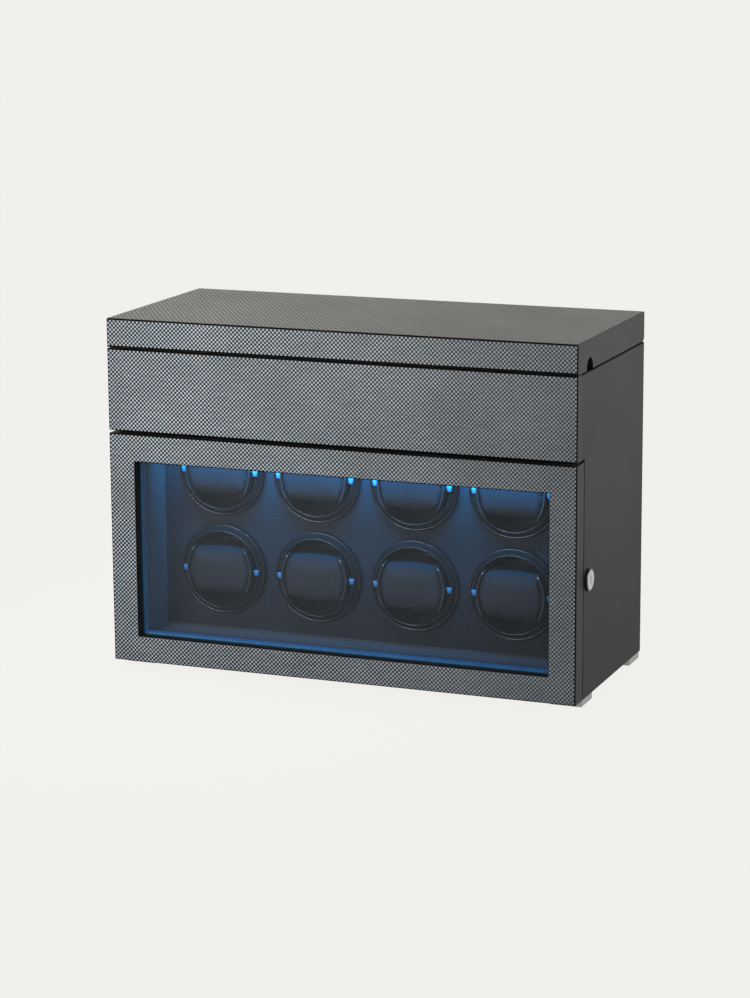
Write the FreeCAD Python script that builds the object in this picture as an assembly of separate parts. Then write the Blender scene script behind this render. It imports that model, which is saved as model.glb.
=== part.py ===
import FreeCAD
import Part

import math
import os

# Watch winder box: eight powered turntables behind a glass door, lined storage under a lid.
# Millimetres. X runs right, Y runs back, Z runs up. The origin is on the floor, mid footprint.

Vector = FreeCAD.Vector
ALONG_X = Vector(1, 0, 0)
ALONG_Y = Vector(0, 1, 0)
ALONG_Z = Vector(0, 0, 1)

# Overall
BOX_WIDTH = 560.0
BOX_DEPTH = 248.0
DOOR_HEIGHT = 267.5
DOOR_TOP_GAP = 3.5
BAND_HEIGHT = 94.3
LID_GAP = 1.2
LID_HEIGHT = 33.5

# Boards and edges
BOARD = 15.0
LINER = 10.5
INNER_BOARD = 10.0
SHELF = 12.0
SHELF_RISE = 3.0
EDGE_ROUND = 1.5
HINGE_BEVEL = 2.5

# Feet
FOOT_HEIGHT = 9.2
FOOT_SIZE = 37.0
FOOT_INSET = 1.5

# Door
DOOR_THICKNESS = 24.8
STILE = 32.0
BOTTOM_RAIL = 31.0
TOP_RAIL = 32.0
GLASS_SETBACK = 11.0
GLASS = 4.0
GLASS_OVERLAP = 5.5
GLASS_CLEARANCE = 0.5
BEAD_DEPTH = 8.0
BEAD_PROUD = 1.5

# Header rail and lamp behind the door's top rail
HEADER_DEPTH = 12.0
HEADER_HEIGHT = 16.0
LAMP_LEG = 16.0
LAMP_WALL = 1.5
LAMP_DIFFUSER = 2.0
LAMP_END_GAP = 15.0

# Lid
LID_TOP_BOARD = 12.0
LID_FRONT_CHAMFER = 2.0
LID_REAR_CHAMFER = 4.5
LINING = 5.0
LINING_CLEARANCE = 1.0
LINING_ROUND = 3.0
NOTCH_RADIUS = 11.0
NOTCH_STRAIGHT = 2.5
NOTCH_FROM_FRONT = 42.0

# Storage tray under the lid
TRAY_WALL = 8.0
TRAY_FLOOR = 5.0
TRAY_CLEARANCE = 0.5
TRAY_LIP_RISE = 3.0
TRAY_CORNER = 6.0
TRAY_COLUMNS = 4
TRAY_CELL_HEIGHT = 55.0
DIVIDER = 6.0
CONSOLE_WIDTH = 112.0
CONSOLE_DROP = 20.0
CONSOLE_WALL = 6.0
TOUCH_WIDTH = 88.0
TOUCH_DEPTH = 120.0
TOUCH_THICKNESS = 3.0
TOUCH_SUNK = 2.0
CIRCUIT_WIDTH = 80.0
CIRCUIT_DEPTH = 120.0
CIRCUIT_THICKNESS = 1.6
CIRCUIT_PILLAR_HEIGHT = 6.0
CIRCUIT_PILLAR_RADIUS = 3.0

# Hinges: the door's pair and the lid's pair are the same size
LEAF = 1.0
LEAF_CLEARANCE = 0.2
LEAF_WIDTH = 11.0
HINGE_LENGTH = 50.0
KNUCKLE_RADIUS = 3.0
KNUCKLE_CLEARANCE = 0.5
KNUCKLE_END_GAP = 0.3
PIN_RADIUS = 1.5
RUNNING_CLEARANCE = 0.05
DOOR_HINGE_INSET = 50.0
LID_HINGE_INSET = 95.0

# Side lock
LOCK_HEIGHT = 133.6
LOCK_SETBACK = 13.0
LOCK_HEAD_RADIUS = 12.5
LOCK_HEAD_PROUD = 4.0
LOCK_FACE_RADIUS = 11.0
LOCK_FACE = 1.6
LOCK_BARREL_RADIUS = 9.5
LOCK_STEM_RADIUS = 7.0
LOCK_HOLE_CLEARANCE = 0.2
LOCK_NUT = 3.5
LOCK_NUT_ACROSS = 24.0
LOCK_END_GAP = 0.3
KEYWAY_LENGTH = 10.0
KEYWAY_WIDTH = 2.0
KEYWAY_DEPTH = 6.0
CAM = 2.5
CAM_REACH = 13.0
CAM_WIDTH = 10.0
CAM_SQUARE = 6.0
CAM_CLEARANCE = 0.05
CAM_SCREW_HEAD = 2.5
CAM_SCREW_HEAD_RADIUS = 4.5
CAM_SCREW_RADIUS = 1.8
CAM_SCREW_LENGTH = 9.0
STRIKE = 1.5
STRIKE_LIP = 2.0
STRIKE_CATCH = 5.0
STRIKE_CLEARANCE = 2.0
STRIKE_GAP = 0.6
STRIKE_FLANGE = 14.0
LOCK_POCKET_MARGIN = 5.0

# Turntables: spaces at the ends of a row or column are counted in gaps between rings
COLUMNS = 4
ROWS = 2
END_GAPS = 1.7
BOTTOM_GAPS = 1.6
TOP_GAPS = 0.55
ROTOR_BOARD_SETBACK = 92.0
RING_WIDTH = 8.5
RING_RISE = 10.5
RING_EDGE = 4.0
RING_GAP = 1.0
RING_BULGE = 0.5
RING_ROUND = 0.8
CUP_RADIUS = 44.5
CUP_WALL = 2.5
CUP_DEPTH = 41.5
CUP_FLOOR = 3.0
CUP_LIP = 1.5
CUP_HOLE_CLEARANCE = 4.0
HUB_RADIUS = 10.0
HUB_LENGTH = 4.0
HUB_GAP = 0.4
STUB_RADIUS = 4.0
STUB_GRIP = 12.0
STUB_HOLE_CLEARANCE = 3.0
LUG_WIDTH = 8.0
LUG_OVERHANG = 5.0
LUG_PROUD = 1.5

# Gear motors behind the turntables
GEARBOX_RADIUS = 24.0
GEARBOX_LENGTH = 18.0
EAR_SPAN = 64.0
EAR_WIDTH = 11.0
EAR = 3.0
MOTOR_RADIUS = 12.5
MOTOR_LENGTH = 24.0
MOTOR_DROP = 9.0

# Watch pillows
PILLOW_SIDE_SPACE = 4.0
STRAP_SPACE = 16.5
PILLOW_PROUD = 20.0
CHEEK_RADIUS = 50.0
CHEEK = 2.0
CHEEK_SETBACK = 1.5
CHEEK_CORNER = 7.0
PILLOW_BACK = 2.5
SOFT_GAP = 0.5
PILLOW_SEAT_GAP = 0.3
PILLOW_GRIP_GAP = 0.3
PILLOW_CROWN = 1.5

# Power inlet
INLET_FROM_RIGHT = 70.0
INLET_HEIGHT = 60.0
INLET_FLANGE_RADIUS = 8.0
INLET_FLANGE = 2.0
INLET_BARREL_RADIUS = 5.5
INLET_TAIL = 6.0
INLET_SOCKET_RADIUS = 3.1
INLET_SOCKET_DEPTH = 9.5
INLET_PIN_RADIUS = 1.0
INLET_PIN_LENGTH = 8.0

# Derived places
LEFT = -BOX_WIDTH / 2
RIGHT = BOX_WIDTH / 2
FRONT = -BOX_DEPTH / 2
BACK = BOX_DEPTH / 2
BODY_BOTTOM = FOOT_HEIGHT
DOOR_TOP = BODY_BOTTOM + DOOR_HEIGHT
BAND_BOTTOM = DOOR_TOP + DOOR_TOP_GAP
BAND_TOP = BAND_BOTTOM + BAND_HEIGHT
LID_BOTTOM = BAND_TOP + LID_GAP
LID_TOP = LID_BOTTOM + LID_HEIGHT
DOOR_REAR = FRONT + DOOR_THICKNESS
CARCASS_FRONT = DOOR_REAR + 2 * LEAF + LEAF_CLEARANCE
INSIDE = RIGHT - BOARD
CHAMBER_SIDE = INSIDE - LINER
BASE_TOP = BODY_BOTTOM + BOARD
CHAMBER_BOTTOM = BASE_TOP + LINER
SHELF_BOTTOM = BAND_BOTTOM + SHELF_RISE
SHELF_TOP = SHELF_BOTTOM + SHELF
BACK_INSIDE = BACK - BOARD
BAND_REAR = FRONT + BOARD

WINDOW_SIDE = RIGHT - STILE
WINDOW_BOTTOM = BODY_BOTTOM + BOTTOM_RAIL
WINDOW_TOP = DOOR_TOP - TOP_RAIL
GLASS_FRONT = FRONT + GLASS_SETBACK
GLASS_REAR = GLASS_FRONT + GLASS
REBATE = GLASS_OVERLAP + GLASS_CLEARANCE

RING_RADIUS = CUP_RADIUS + RING_WIDTH
COLUMN_SPACE = 2 * (CHAMBER_SIDE - COLUMNS * RING_RADIUS)
COLUMN_PITCH = 2 * RING_RADIUS + COLUMN_SPACE / (COLUMNS - 1 + 2 * END_GAPS)
ROW_SPACE = SHELF_BOTTOM - CHAMBER_BOTTOM - 2 * ROWS * RING_RADIUS
ROW_GAP = ROW_SPACE / (ROWS - 1 + BOTTOM_GAPS + TOP_GAPS)
ROW_PITCH = 2 * RING_RADIUS + ROW_GAP
LOWER_ROW_Z = CHAMBER_BOTTOM + BOTTOM_GAPS * ROW_GAP + RING_RADIUS

ROTOR_BOARD_FRONT = FRONT + ROTOR_BOARD_SETBACK
RING_FRONT = ROTOR_BOARD_FRONT - RING_RISE
CUP_FLOOR_FRONT = RING_FRONT + CUP_DEPTH
CUP_FLOOR_REAR = CUP_FLOOR_FRONT + CUP_FLOOR
HUB_REAR = CUP_FLOOR_REAR + HUB_LENGTH
MOTOR_BOARD_FRONT = HUB_REAR + HUB_GAP
MOTOR_BOARD_REAR = MOTOR_BOARD_FRONT + INNER_BOARD
STUB_END = MOTOR_BOARD_REAR + STUB_GRIP

PILLOW_WIDTH = 2 * (CUP_RADIUS - PILLOW_SIDE_SPACE)
PILLOW_HEIGHT = 2 * (CUP_RADIUS - STRAP_SPACE)
PILLOW_FRONT = ROTOR_BOARD_FRONT - PILLOW_PROUD
CHEEK_FRONT = PILLOW_FRONT + CHEEK_SETBACK
PILLOW_REAR = CUP_FLOOR_FRONT - PILLOW_SEAT_GAP
PILLOW_BACK_FRONT = PILLOW_REAR - PILLOW_BACK
CHEEK_OFFSET = CHEEK_RADIUS - PILLOW_WIDTH / 2
LUG_INNER = PILLOW_WIDTH / 2 + PILLOW_GRIP_GAP

DOOR_AXIS_X = LEFT + HINGE_BEVEL
DOOR_AXIS_Y = (DOOR_REAR + CARCASS_FRONT) / 2
LID_AXIS_Y = BACK - HINGE_BEVEL
LID_AXIS_Z = (BAND_TOP + LID_BOTTOM) / 2

LOCK_Y = CARCASS_FRONT + LOCK_SETBACK
LOCK_Z = BODY_BOTTOM + LOCK_HEIGHT
LOCK_BARREL_END = INSIDE - LOCK_NUT - LOCK_END_GAP
CAM_OUTER = LOCK_BARREL_END - LOCK_END_GAP
CAM_INNER = CAM_OUTER - CAM

TRAY_SIDE = INSIDE - TRAY_CLEARANCE
TRAY_FRONT = BAND_REAR + TRAY_CLEARANCE
TRAY_REAR = BACK_INSIDE - TRAY_CLEARANCE
TRAY_TOP = BAND_TOP + TRAY_LIP_RISE
TRAY_FLOOR_TOP = SHELF_TOP + TRAY_FLOOR
CONSOLE_LEFT = TRAY_SIDE - TRAY_WALL - CONSOLE_WIDTH
CONSOLE_TOP = BAND_TOP - CONSOLE_DROP
CONSOLE_MIDDLE = CONSOLE_LEFT + CONSOLE_WIDTH / 2
TRAY_MIDDLE = (TRAY_FRONT + TRAY_REAR) / 2


def block(x_span, y_span, z_span):
    """A box between low and high places on each axis."""
    size = [high - low for low, high in (x_span, y_span, z_span)]
    return Part.makeBox(*size, Vector(x_span[0], y_span[0], z_span[0]))


def rod(radius, start, end):
    """A round bar from one point to another."""
    return Part.makeCylinder(radius, (end - start).Length, start, end - start)


def polygon(corners):
    """A flat face through a closed row of corners."""
    return Part.Face(Part.makePolygon(corners + corners[:1]))


def profile_x(corners, x_span):
    """A side profile of (y, z) corners drawn out along X."""
    face = polygon([Vector(x_span[0], y, z) for y, z in corners])
    return face.extrude(ALONG_X * (x_span[1] - x_span[0]))


def edges_where(shape, test):
    """The edges whose two ends both pass a test."""
    return [edge for edge in shape.Edges if all(test(end.Point) for end in edge.Vertexes)]


def near(value, target):
    """Whether a coordinate lies on a plane."""
    return abs(value - target) < 1e-4


def base_panel():
    return block((-INSIDE, INSIDE), (CARCASS_FRONT, BACK), (BODY_BOTTOM, BASE_TOP))


def side_panel(inner, outer):
    """A side board, stepped back for the door and bevelled at the lid's hinge line."""
    corners = [
        (CARCASS_FRONT, BODY_BOTTOM),
        (BACK, BODY_BOTTOM),
        (BACK, BAND_TOP - HINGE_BEVEL),
        (BACK - HINGE_BEVEL, BAND_TOP),
        (BAND_REAR, BAND_TOP),
        (BAND_REAR, BAND_BOTTOM),
        (CARCASS_FRONT, BAND_BOTTOM),
    ]
    panel = profile_x(corners, (min(inner, outer), max(inner, outer)))
    rear_edge = edges_where(panel, lambda p: near(p.x, outer) and near(p.y, BACK))
    return panel.makeFillet(EDGE_ROUND, rear_edge)


def left_side_panel():
    """The hinge side: its front edge is bevelled and lets in the door's knuckles."""
    panel = side_panel(-INSIDE, LEFT)
    bevel = polygon([
        Vector(LEFT, CARCASS_FRONT, BODY_BOTTOM),
        Vector(LEFT + HINGE_BEVEL, CARCASS_FRONT, BODY_BOTTOM),
        Vector(LEFT, CARCASS_FRONT + HINGE_BEVEL, BODY_BOTTOM),
    ])
    panel = panel.cut(bevel.extrude(ALONG_Z * (BAND_BOTTOM - BODY_BOTTOM)))
    for low in door_hinge_lows():
        panel = panel.cut(door_knuckle_room(low))
    return panel


def right_side_panel():
    """The lock side: a round hole takes the lock's barrel."""
    hole = rod(
        LOCK_BARREL_RADIUS + LOCK_HOLE_CLEARANCE,
        Vector(INSIDE - BOARD, LOCK_Y, LOCK_Z),
        Vector(RIGHT + BOARD, LOCK_Y, LOCK_Z),
    )
    return side_panel(INSIDE, RIGHT).cut(hole)


def back_panel():
    """The rear board, bevelled along the top for the lid, with the inlet's hole."""
    corners = [
        (BACK_INSIDE, BASE_TOP),
        (BACK, BASE_TOP),
        (BACK, BAND_TOP - HINGE_BEVEL),
        (BACK - HINGE_BEVEL, BAND_TOP),
        (BACK_INSIDE, BAND_TOP),
    ]
    panel = profile_x(corners, (-INSIDE, INSIDE))
    for low in lid_hinge_lows():
        panel = panel.cut(lid_knuckle_room(low))
        panel = panel.cut(lid_leaf(low, -1))
    inlet = inlet_centre()
    panel = panel.cut(rod(INLET_FLANGE_RADIUS, inlet - ALONG_Y * INLET_FLANGE, inlet))
    return panel.cut(rod(INLET_BARREL_RADIUS, inlet - ALONG_Y * 2 * BOARD, inlet))


def divider_shelf():
    return block((-INSIDE, INSIDE), (BAND_REAR, BACK_INSIDE), (SHELF_BOTTOM, SHELF_TOP))


def front_band():
    """The fixed front board of the top compartment, with its face edges eased."""
    board = block((LEFT, RIGHT), (FRONT, BAND_REAR), (BAND_BOTTOM, BAND_TOP))
    return board.makeFillet(EDGE_ROUND, edges_where(board, lambda p: near(p.y, FRONT)))


def header_rail():
    return block(
        (-CHAMBER_SIDE, CHAMBER_SIDE),
        (CARCASS_FRONT, CARCASS_FRONT + HEADER_DEPTH),
        (SHELF_BOTTOM - HEADER_HEIGHT, SHELF_BOTTOM),
    )


def chamber_liner(inner, outer):
    return block(
        (min(inner, outer), max(inner, outer)),
        (CARCASS_FRONT, ROTOR_BOARD_FRONT),
        (CHAMBER_BOTTOM, SHELF_BOTTOM),
    )


def right_chamber_liner():
    """The lock side's lining, open at its front edge where the cam and strike work."""
    reach = LOCK_SETBACK + LOCK_NUT_ACROSS / math.sqrt(3) + LOCK_POCKET_MARGIN
    half = CAM_REACH + STRIKE_CLEARANCE + STRIKE + LOCK_POCKET_MARGIN
    pocket = block(
        (CHAMBER_SIDE, INSIDE),
        (CARCASS_FRONT, CARCASS_FRONT + reach),
        (LOCK_Z - half, LOCK_Z + half),
    )
    return chamber_liner(CHAMBER_SIDE, INSIDE).cut(pocket)


def chamber_floor():
    return block((-INSIDE, INSIDE), (CARCASS_FRONT, ROTOR_BOARD_FRONT), (BASE_TOP, CHAMBER_BOTTOM))


def rotor_centres():
    """Turntable axes, upper row first, each row from left to right."""
    first = -COLUMN_PITCH * (COLUMNS - 1) / 2
    for row in reversed(range(ROWS)):
        for column in range(COLUMNS):
            x = first + column * COLUMN_PITCH
            yield Vector(x, 0, LOWER_ROW_Z + row * ROW_PITCH)


def pierced_board(front, rear, hole_radius):
    """An upright board across the carcass with one round hole on each turntable axis."""
    board = block((-INSIDE, INSIDE), (front, rear), (BASE_TOP, SHELF_BOTTOM))
    holes = [rod(hole_radius, c + ALONG_Y * front, c + ALONG_Y * rear) for c in rotor_centres()]
    return board.cut(holes)


def rotor_board():
    radius = CUP_RADIUS + CUP_WALL + CUP_HOLE_CLEARANCE
    return pierced_board(ROTOR_BOARD_FRONT, ROTOR_BOARD_FRONT + INNER_BOARD, radius)


def motor_board():
    radius = STUB_RADIUS + STUB_HOLE_CLEARANCE
    return pierced_board(MOTOR_BOARD_FRONT, MOTOR_BOARD_REAR, radius)


def gearmotor(centre):
    """A round gearbox on two ears with an offset motor can and a bore for the stub axle."""
    face = centre + ALONG_Y * MOTOR_BOARD_REAR
    gearbox_rear = face + ALONG_Y * GEARBOX_LENGTH
    can = gearbox_rear - ALONG_Z * MOTOR_DROP
    ears = block(
        (centre.x - EAR_SPAN / 2, centre.x + EAR_SPAN / 2),
        (face.y, face.y + EAR),
        (centre.z - EAR_WIDTH / 2, centre.z + EAR_WIDTH / 2),
    )
    body = rod(GEARBOX_RADIUS, face, gearbox_rear).fuse([
        ears,
        rod(MOTOR_RADIUS, can, can + ALONG_Y * MOTOR_LENGTH),
    ])
    bore_end = face + ALONG_Y * (STUB_GRIP + HUB_GAP)
    return body.cut(rod(STUB_RADIUS + RUNNING_CLEARANCE, face, bore_end)).removeSplitter()


def gearmotors():
    return Part.makeCompound([gearmotor(centre) for centre in rotor_centres()])


def rotor_cup(centre):
    """A turned cup with a domed ring, a hub and a stub axle, and two clips that key the pillow."""

    def at(radius, y):
        return Vector(centre.x + radius, y, centre.z)

    lip = at(CUP_RADIUS + CUP_LIP, RING_FRONT)
    ring_rear = ROTOR_BOARD_FRONT - RING_GAP
    ring_edge = at(RING_RADIUS, ring_rear - RING_EDGE)
    crest = (lip + ring_edge) * 0.5 + Vector(RING_BULGE, -RING_BULGE, 0)
    inner = [at(0, CUP_FLOOR_FRONT), at(CUP_RADIUS, CUP_FLOOR_FRONT)]
    inner += [at(CUP_RADIUS, RING_FRONT + CUP_LIP), lip]
    outer = [ring_edge, at(RING_RADIUS, ring_rear), at(CUP_RADIUS + CUP_WALL, ring_rear)]
    outer += [at(CUP_RADIUS + CUP_WALL, CUP_FLOOR_REAR), at(HUB_RADIUS, CUP_FLOOR_REAR)]
    outer += [at(HUB_RADIUS, HUB_REAR), at(STUB_RADIUS, HUB_REAR)]
    outer += [at(STUB_RADIUS, STUB_END), at(0, STUB_END), inner[0]]
    edges = Part.makePolygon(inner).Edges
    edges += [Part.Arc(lip, crest, ring_edge).toShape()]
    edges += Part.makePolygon(outer).Edges
    cup = Part.Face(Part.Wire(edges)).revolve(at(0, 0), ALONG_Y, 360)
    cup = cup.makeFillet(RING_ROUND, edges_where(cup, lambda p: near(p.y, lip.y) or near(p.y, ring_edge.y)))
    lug_front = RING_FRONT - LUG_PROUD
    lug_sunk = RING_FRONT + RING_RISE / 2
    rail_rear = CUP_FLOOR_FRONT + CUP_FLOOR / 2
    rail_outer = CUP_RADIUS + CUP_WALL / 2
    lug_outer = CUP_RADIUS + LUG_OVERHANG
    lugs = []
    for side in (-1, 1):
        outline = polygon([
            at(side * LUG_INNER, lug_front),
            at(side * (lug_outer - LUG_PROUD), lug_front),
            at(side * lug_outer, RING_FRONT),
            at(side * lug_outer, lug_sunk),
            at(side * rail_outer, lug_sunk),
            at(side * rail_outer, rail_rear),
            at(side * LUG_INNER, rail_rear),
        ])
        outline.translate(ALONG_Z * -LUG_WIDTH / 2)
        lugs.append(outline.extrude(ALONG_Z * LUG_WIDTH))
    return cup.fuse(lugs).removeSplitter()


def pillow_outline(centre, y, side_radius, half_height, crown):
    """A front outline with bowed sides and a slightly crowned top and bottom."""
    half_top = math.sqrt(side_radius ** 2 - half_height ** 2) - CHEEK_OFFSET
    half_middle = side_radius - CHEEK_OFFSET

    def at(x, z):
        return Vector(centre.x + x, y, centre.z + z)

    corners = [at(half_top, half_height), at(half_top, -half_height)]
    corners += [at(-half_top, -half_height), at(-half_top, half_height), corners[0]]
    bows = [at(half_middle, 0), at(0, -half_height - crown)]
    bows += [at(-half_middle, 0), at(0, half_height + crown)]
    arcs = [Part.Arc(corners[i], bows[i], corners[i + 1]).toShape() for i in range(4)]
    return Part.Wire(arcs)


def pillow_frame(centre):
    """Two bowed cheek plates with rounded front corners, joined by a back plate."""
    half = PILLOW_HEIGHT / 2

    def slab(front, rear, side_radius, half_height):
        wire = pillow_outline(centre, front, side_radius, half_height, PILLOW_CROWN)
        return Part.Face(wire).extrude(ALONG_Y * (rear - front))

    inside_radius = CHEEK_RADIUS - CHEEK
    room = slab(CHEEK_FRONT, PILLOW_BACK_FRONT, inside_radius, half + 2 * PILLOW_CROWN)
    top = half + PILLOW_CROWN
    rounded = block(
        (centre.x - PILLOW_WIDTH / 2, centre.x + PILLOW_WIDTH / 2),
        (CHEEK_FRONT, PILLOW_REAR),
        (centre.z - top, centre.z + top),
    )
    for z in (centre.z - top, centre.z + top):
        corner = edges_where(rounded, lambda p: near(p.y, CHEEK_FRONT) and near(p.z, z))
        rounded = rounded.makeFillet(CHEEK_CORNER, corner)
    return slab(CHEEK_FRONT, PILLOW_REAR, CHEEK_RADIUS, half).cut(room).common(rounded)


def pillow_cushion(centre):
    """A stuffed cushion: full in the middle, drawn in at the back and crowned in front."""
    rear = PILLOW_BACK_FRONT - SOFT_GAP
    depth = rear - PILLOW_FRONT
    stations = [(1.0, 2.0, 4.0), (0.9, 0.5, 1.0), (0.6, 0.0, 0.0), (0.3, 0.0, 0.4)]
    stations += [(0.14, 0.3, 2.0), (0.05, 1.2, 5.0), (0.0, 4.0, 10.0)]
    wires = []
    for share, side_inset, end_inset in stations:
        side_radius = CHEEK_RADIUS - CHEEK - SOFT_GAP - side_inset
        half_height = PILLOW_HEIGHT / 2 - end_inset
        y = PILLOW_FRONT + share * depth
        wires.append(pillow_outline(centre, y, side_radius, half_height, PILLOW_CROWN))
    return Part.makeLoft(wires, True, True)


def lamp_bar():
    """An angle of thin metal in the corner of shelf and header, holding the lamp."""
    y = CARCASS_FRONT + HEADER_DEPTH
    corners = [
        (y, SHELF_BOTTOM),
        (y, SHELF_BOTTOM - LAMP_LEG),
        (y + LAMP_WALL, SHELF_BOTTOM - LAMP_LEG),
        (y + LAMP_WALL, SHELF_BOTTOM - LAMP_WALL),
        (y + LAMP_LEG, SHELF_BOTTOM - LAMP_WALL),
        (y + LAMP_LEG, SHELF_BOTTOM),
    ]
    return profile_x(corners, lamp_span())


def lamp_span():
    """The lamp's two ends."""
    return (LAMP_END_GAP - CHAMBER_SIDE, CHAMBER_SIDE - LAMP_END_GAP)


def lamp_diffuser():
    """A slanted cover strip between the two legs of the lamp bar."""
    y = CARCASS_FRONT + HEADER_DEPTH + LAMP_WALL
    z = SHELF_BOTTOM - LAMP_WALL
    leg = LAMP_LEG - LAMP_WALL
    slant = LAMP_DIFFUSER * math.sqrt(2)
    corners = [(y, z - leg), (y + leg, z), (y + leg - slant, z), (y, z - leg + slant)]
    return profile_x(corners, lamp_span())


def storage_tray():
    """A lined tray whose walls rise into the lid, with a hollow console at its right end."""
    x_span = (-TRAY_SIDE, TRAY_SIDE)
    y_span = (TRAY_FRONT, TRAY_REAR)
    tray = block(x_span, y_span, (SHELF_TOP, TRAY_TOP))
    cells = block(
        (TRAY_WALL - TRAY_SIDE, CONSOLE_LEFT),
        (TRAY_FRONT + TRAY_WALL, TRAY_REAR - TRAY_WALL),
        (TRAY_FLOOR_TOP, TRAY_TOP),
    )
    uprights = edges_where(cells, lambda p: near(p.x, TRAY_WALL - TRAY_SIDE))
    uprights = [edge for edge in uprights if near(edge.Length, TRAY_TOP - TRAY_FLOOR_TOP)]
    tray = tray.cut(cells.makeFillet(TRAY_CORNER, uprights))
    above = block(
        (CONSOLE_LEFT, TRAY_SIDE - TRAY_WALL),
        (TRAY_FRONT + TRAY_WALL, TRAY_REAR - TRAY_WALL),
        (CONSOLE_TOP, TRAY_TOP),
    )
    below = block(
        (CONSOLE_LEFT + CONSOLE_WALL, TRAY_SIDE - TRAY_WALL),
        (TRAY_FRONT + TRAY_WALL, TRAY_REAR - TRAY_WALL),
        (SHELF_TOP, CONSOLE_TOP - CONSOLE_WALL),
    )
    return tray.cut([above, below, touch_panel()])


def touch_panel():
    """The control screen let into the console's deck."""
    low = CONSOLE_TOP - TOUCH_SUNK
    return block(
        (CONSOLE_MIDDLE - TOUCH_WIDTH / 2, CONSOLE_MIDDLE + TOUCH_WIDTH / 2),
        (TRAY_MIDDLE - TOUCH_DEPTH / 2, TRAY_MIDDLE + TOUCH_DEPTH / 2),
        (low, low + TOUCH_THICKNESS),
    )


def tray_dividers():
    """An egg-crate insert of one long board and short cross boards."""
    left = TRAY_WALL - TRAY_SIDE
    cell = (CONSOLE_LEFT - left - (TRAY_COLUMNS - 1) * DIVIDER) / TRAY_COLUMNS
    z_span = (TRAY_FLOOR_TOP, TRAY_FLOOR_TOP + TRAY_CELL_HEIGHT)
    middle = (TRAY_MIDDLE - DIVIDER / 2, TRAY_MIDDLE + DIVIDER / 2)
    crate = block((left, CONSOLE_LEFT), middle, z_span)
    cross = []
    for index in range(1, TRAY_COLUMNS):
        x = left + index * cell + (index - 1) * DIVIDER
        cross.append(block((x, x + DIVIDER), (TRAY_FRONT + TRAY_WALL, TRAY_REAR - TRAY_WALL), z_span))
    return crate.fuse(cross).removeSplitter()


def control_board():
    """The drive electronics on four pillars under the console, with its tall parts."""
    x_low = CONSOLE_MIDDLE - CIRCUIT_WIDTH / 2
    y_low = TRAY_MIDDLE - CIRCUIT_DEPTH / 2
    low = SHELF_TOP + CIRCUIT_PILLAR_HEIGHT
    high = low + CIRCUIT_THICKNESS
    board = block((x_low, x_low + CIRCUIT_WIDTH), (y_low, y_low + CIRCUIT_DEPTH), (low, high))
    pieces = []
    for x_share in (0.08, 0.92):
        for y_share in (0.08, 0.92):
            foot = Vector(x_low + x_share * CIRCUIT_WIDTH, y_low + y_share * CIRCUIT_DEPTH, SHELF_TOP)
            pieces.append(rod(CIRCUIT_PILLAR_RADIUS, foot, foot + ALONG_Z * CIRCUIT_PILLAR_HEIGHT))
    connector_height = 5 * CIRCUIT_THICKNESS
    pieces.append(block(
        (x_low + 0.15 * CIRCUIT_WIDTH, x_low + 0.85 * CIRCUIT_WIDTH),
        (y_low + 0.85 * CIRCUIT_DEPTH, y_low + 0.95 * CIRCUIT_DEPTH),
        (high, high + connector_height),
    ))
    pieces.append(block(
        (x_low + 0.35 * CIRCUIT_WIDTH, x_low + 0.65 * CIRCUIT_WIDTH),
        (y_low + 0.4 * CIRCUIT_DEPTH, y_low + 0.6 * CIRCUIT_DEPTH),
        (high, high + CIRCUIT_THICKNESS),
    ))
    return board.fuse(pieces).removeSplitter()


def inlet_centre():
    """The middle of the power socket on the rear face."""
    return Vector(RIGHT - INLET_FROM_RIGHT, BACK, BODY_BOTTOM + INLET_HEIGHT)


def power_inlet():
    """A flush round socket with a centre pin."""
    face = inlet_centre()
    tail = face - ALONG_Y * (BOARD + INLET_TAIL)
    socket_end = face - ALONG_Y * INLET_SOCKET_DEPTH
    flange = rod(INLET_FLANGE_RADIUS, face - ALONG_Y * INLET_FLANGE, face)
    barrel = rod(INLET_BARREL_RADIUS, tail, face)
    socket = rod(INLET_SOCKET_RADIUS, socket_end, face)
    pin = rod(INLET_PIN_RADIUS, socket_end, socket_end + ALONG_Y * INLET_PIN_LENGTH)
    return flange.fuse(barrel).cut(socket).fuse(pin).removeSplitter()


def feet():
    """Four square metal pads under the carcass corners."""
    pads = []
    for x_low in (LEFT + FOOT_INSET, RIGHT - FOOT_INSET - FOOT_SIZE):
        for y_low in (CARCASS_FRONT + FOOT_INSET, BACK - FOOT_INSET - FOOT_SIZE):
            pad = block((x_low, x_low + FOOT_SIZE), (y_low, y_low + FOOT_SIZE), (0, FOOT_HEIGHT))
            bottom = edges_where(pad, lambda p: near(p.z, 0))
            pads.append(pad.makeChamfer(EDGE_ROUND / 2, bottom))
    return Part.makeCompound(pads)


def door_hinge_lows():
    """Lower ends of the door's two hinges."""
    return (BODY_BOTTOM + DOOR_HINGE_INSET, DOOR_TOP - DOOR_HINGE_INSET - HINGE_LENGTH)


def lid_hinge_lows():
    """Left ends of the lid's two hinges."""
    return (LEFT + LID_HINGE_INSET, RIGHT - LID_HINGE_INSET - HINGE_LENGTH)


def door_hinge_point(low):
    return Vector(DOOR_AXIS_X, DOOR_AXIS_Y, low)


def lid_hinge_point(low):
    return Vector(low, LID_AXIS_Y, LID_AXIS_Z)


def knuckle_room(start, along):
    """The round space that a hinge's knuckles turn in."""
    begin = start - along * KNUCKLE_CLEARANCE
    end = start + along * (HINGE_LENGTH + KNUCKLE_CLEARANCE)
    return rod(KNUCKLE_RADIUS + KNUCKLE_CLEARANCE, begin, end)


def door_knuckle_room(low):
    return knuckle_room(door_hinge_point(low), ALONG_Z)


def lid_knuckle_room(low):
    return knuckle_room(lid_hinge_point(low), ALONG_X)


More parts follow.
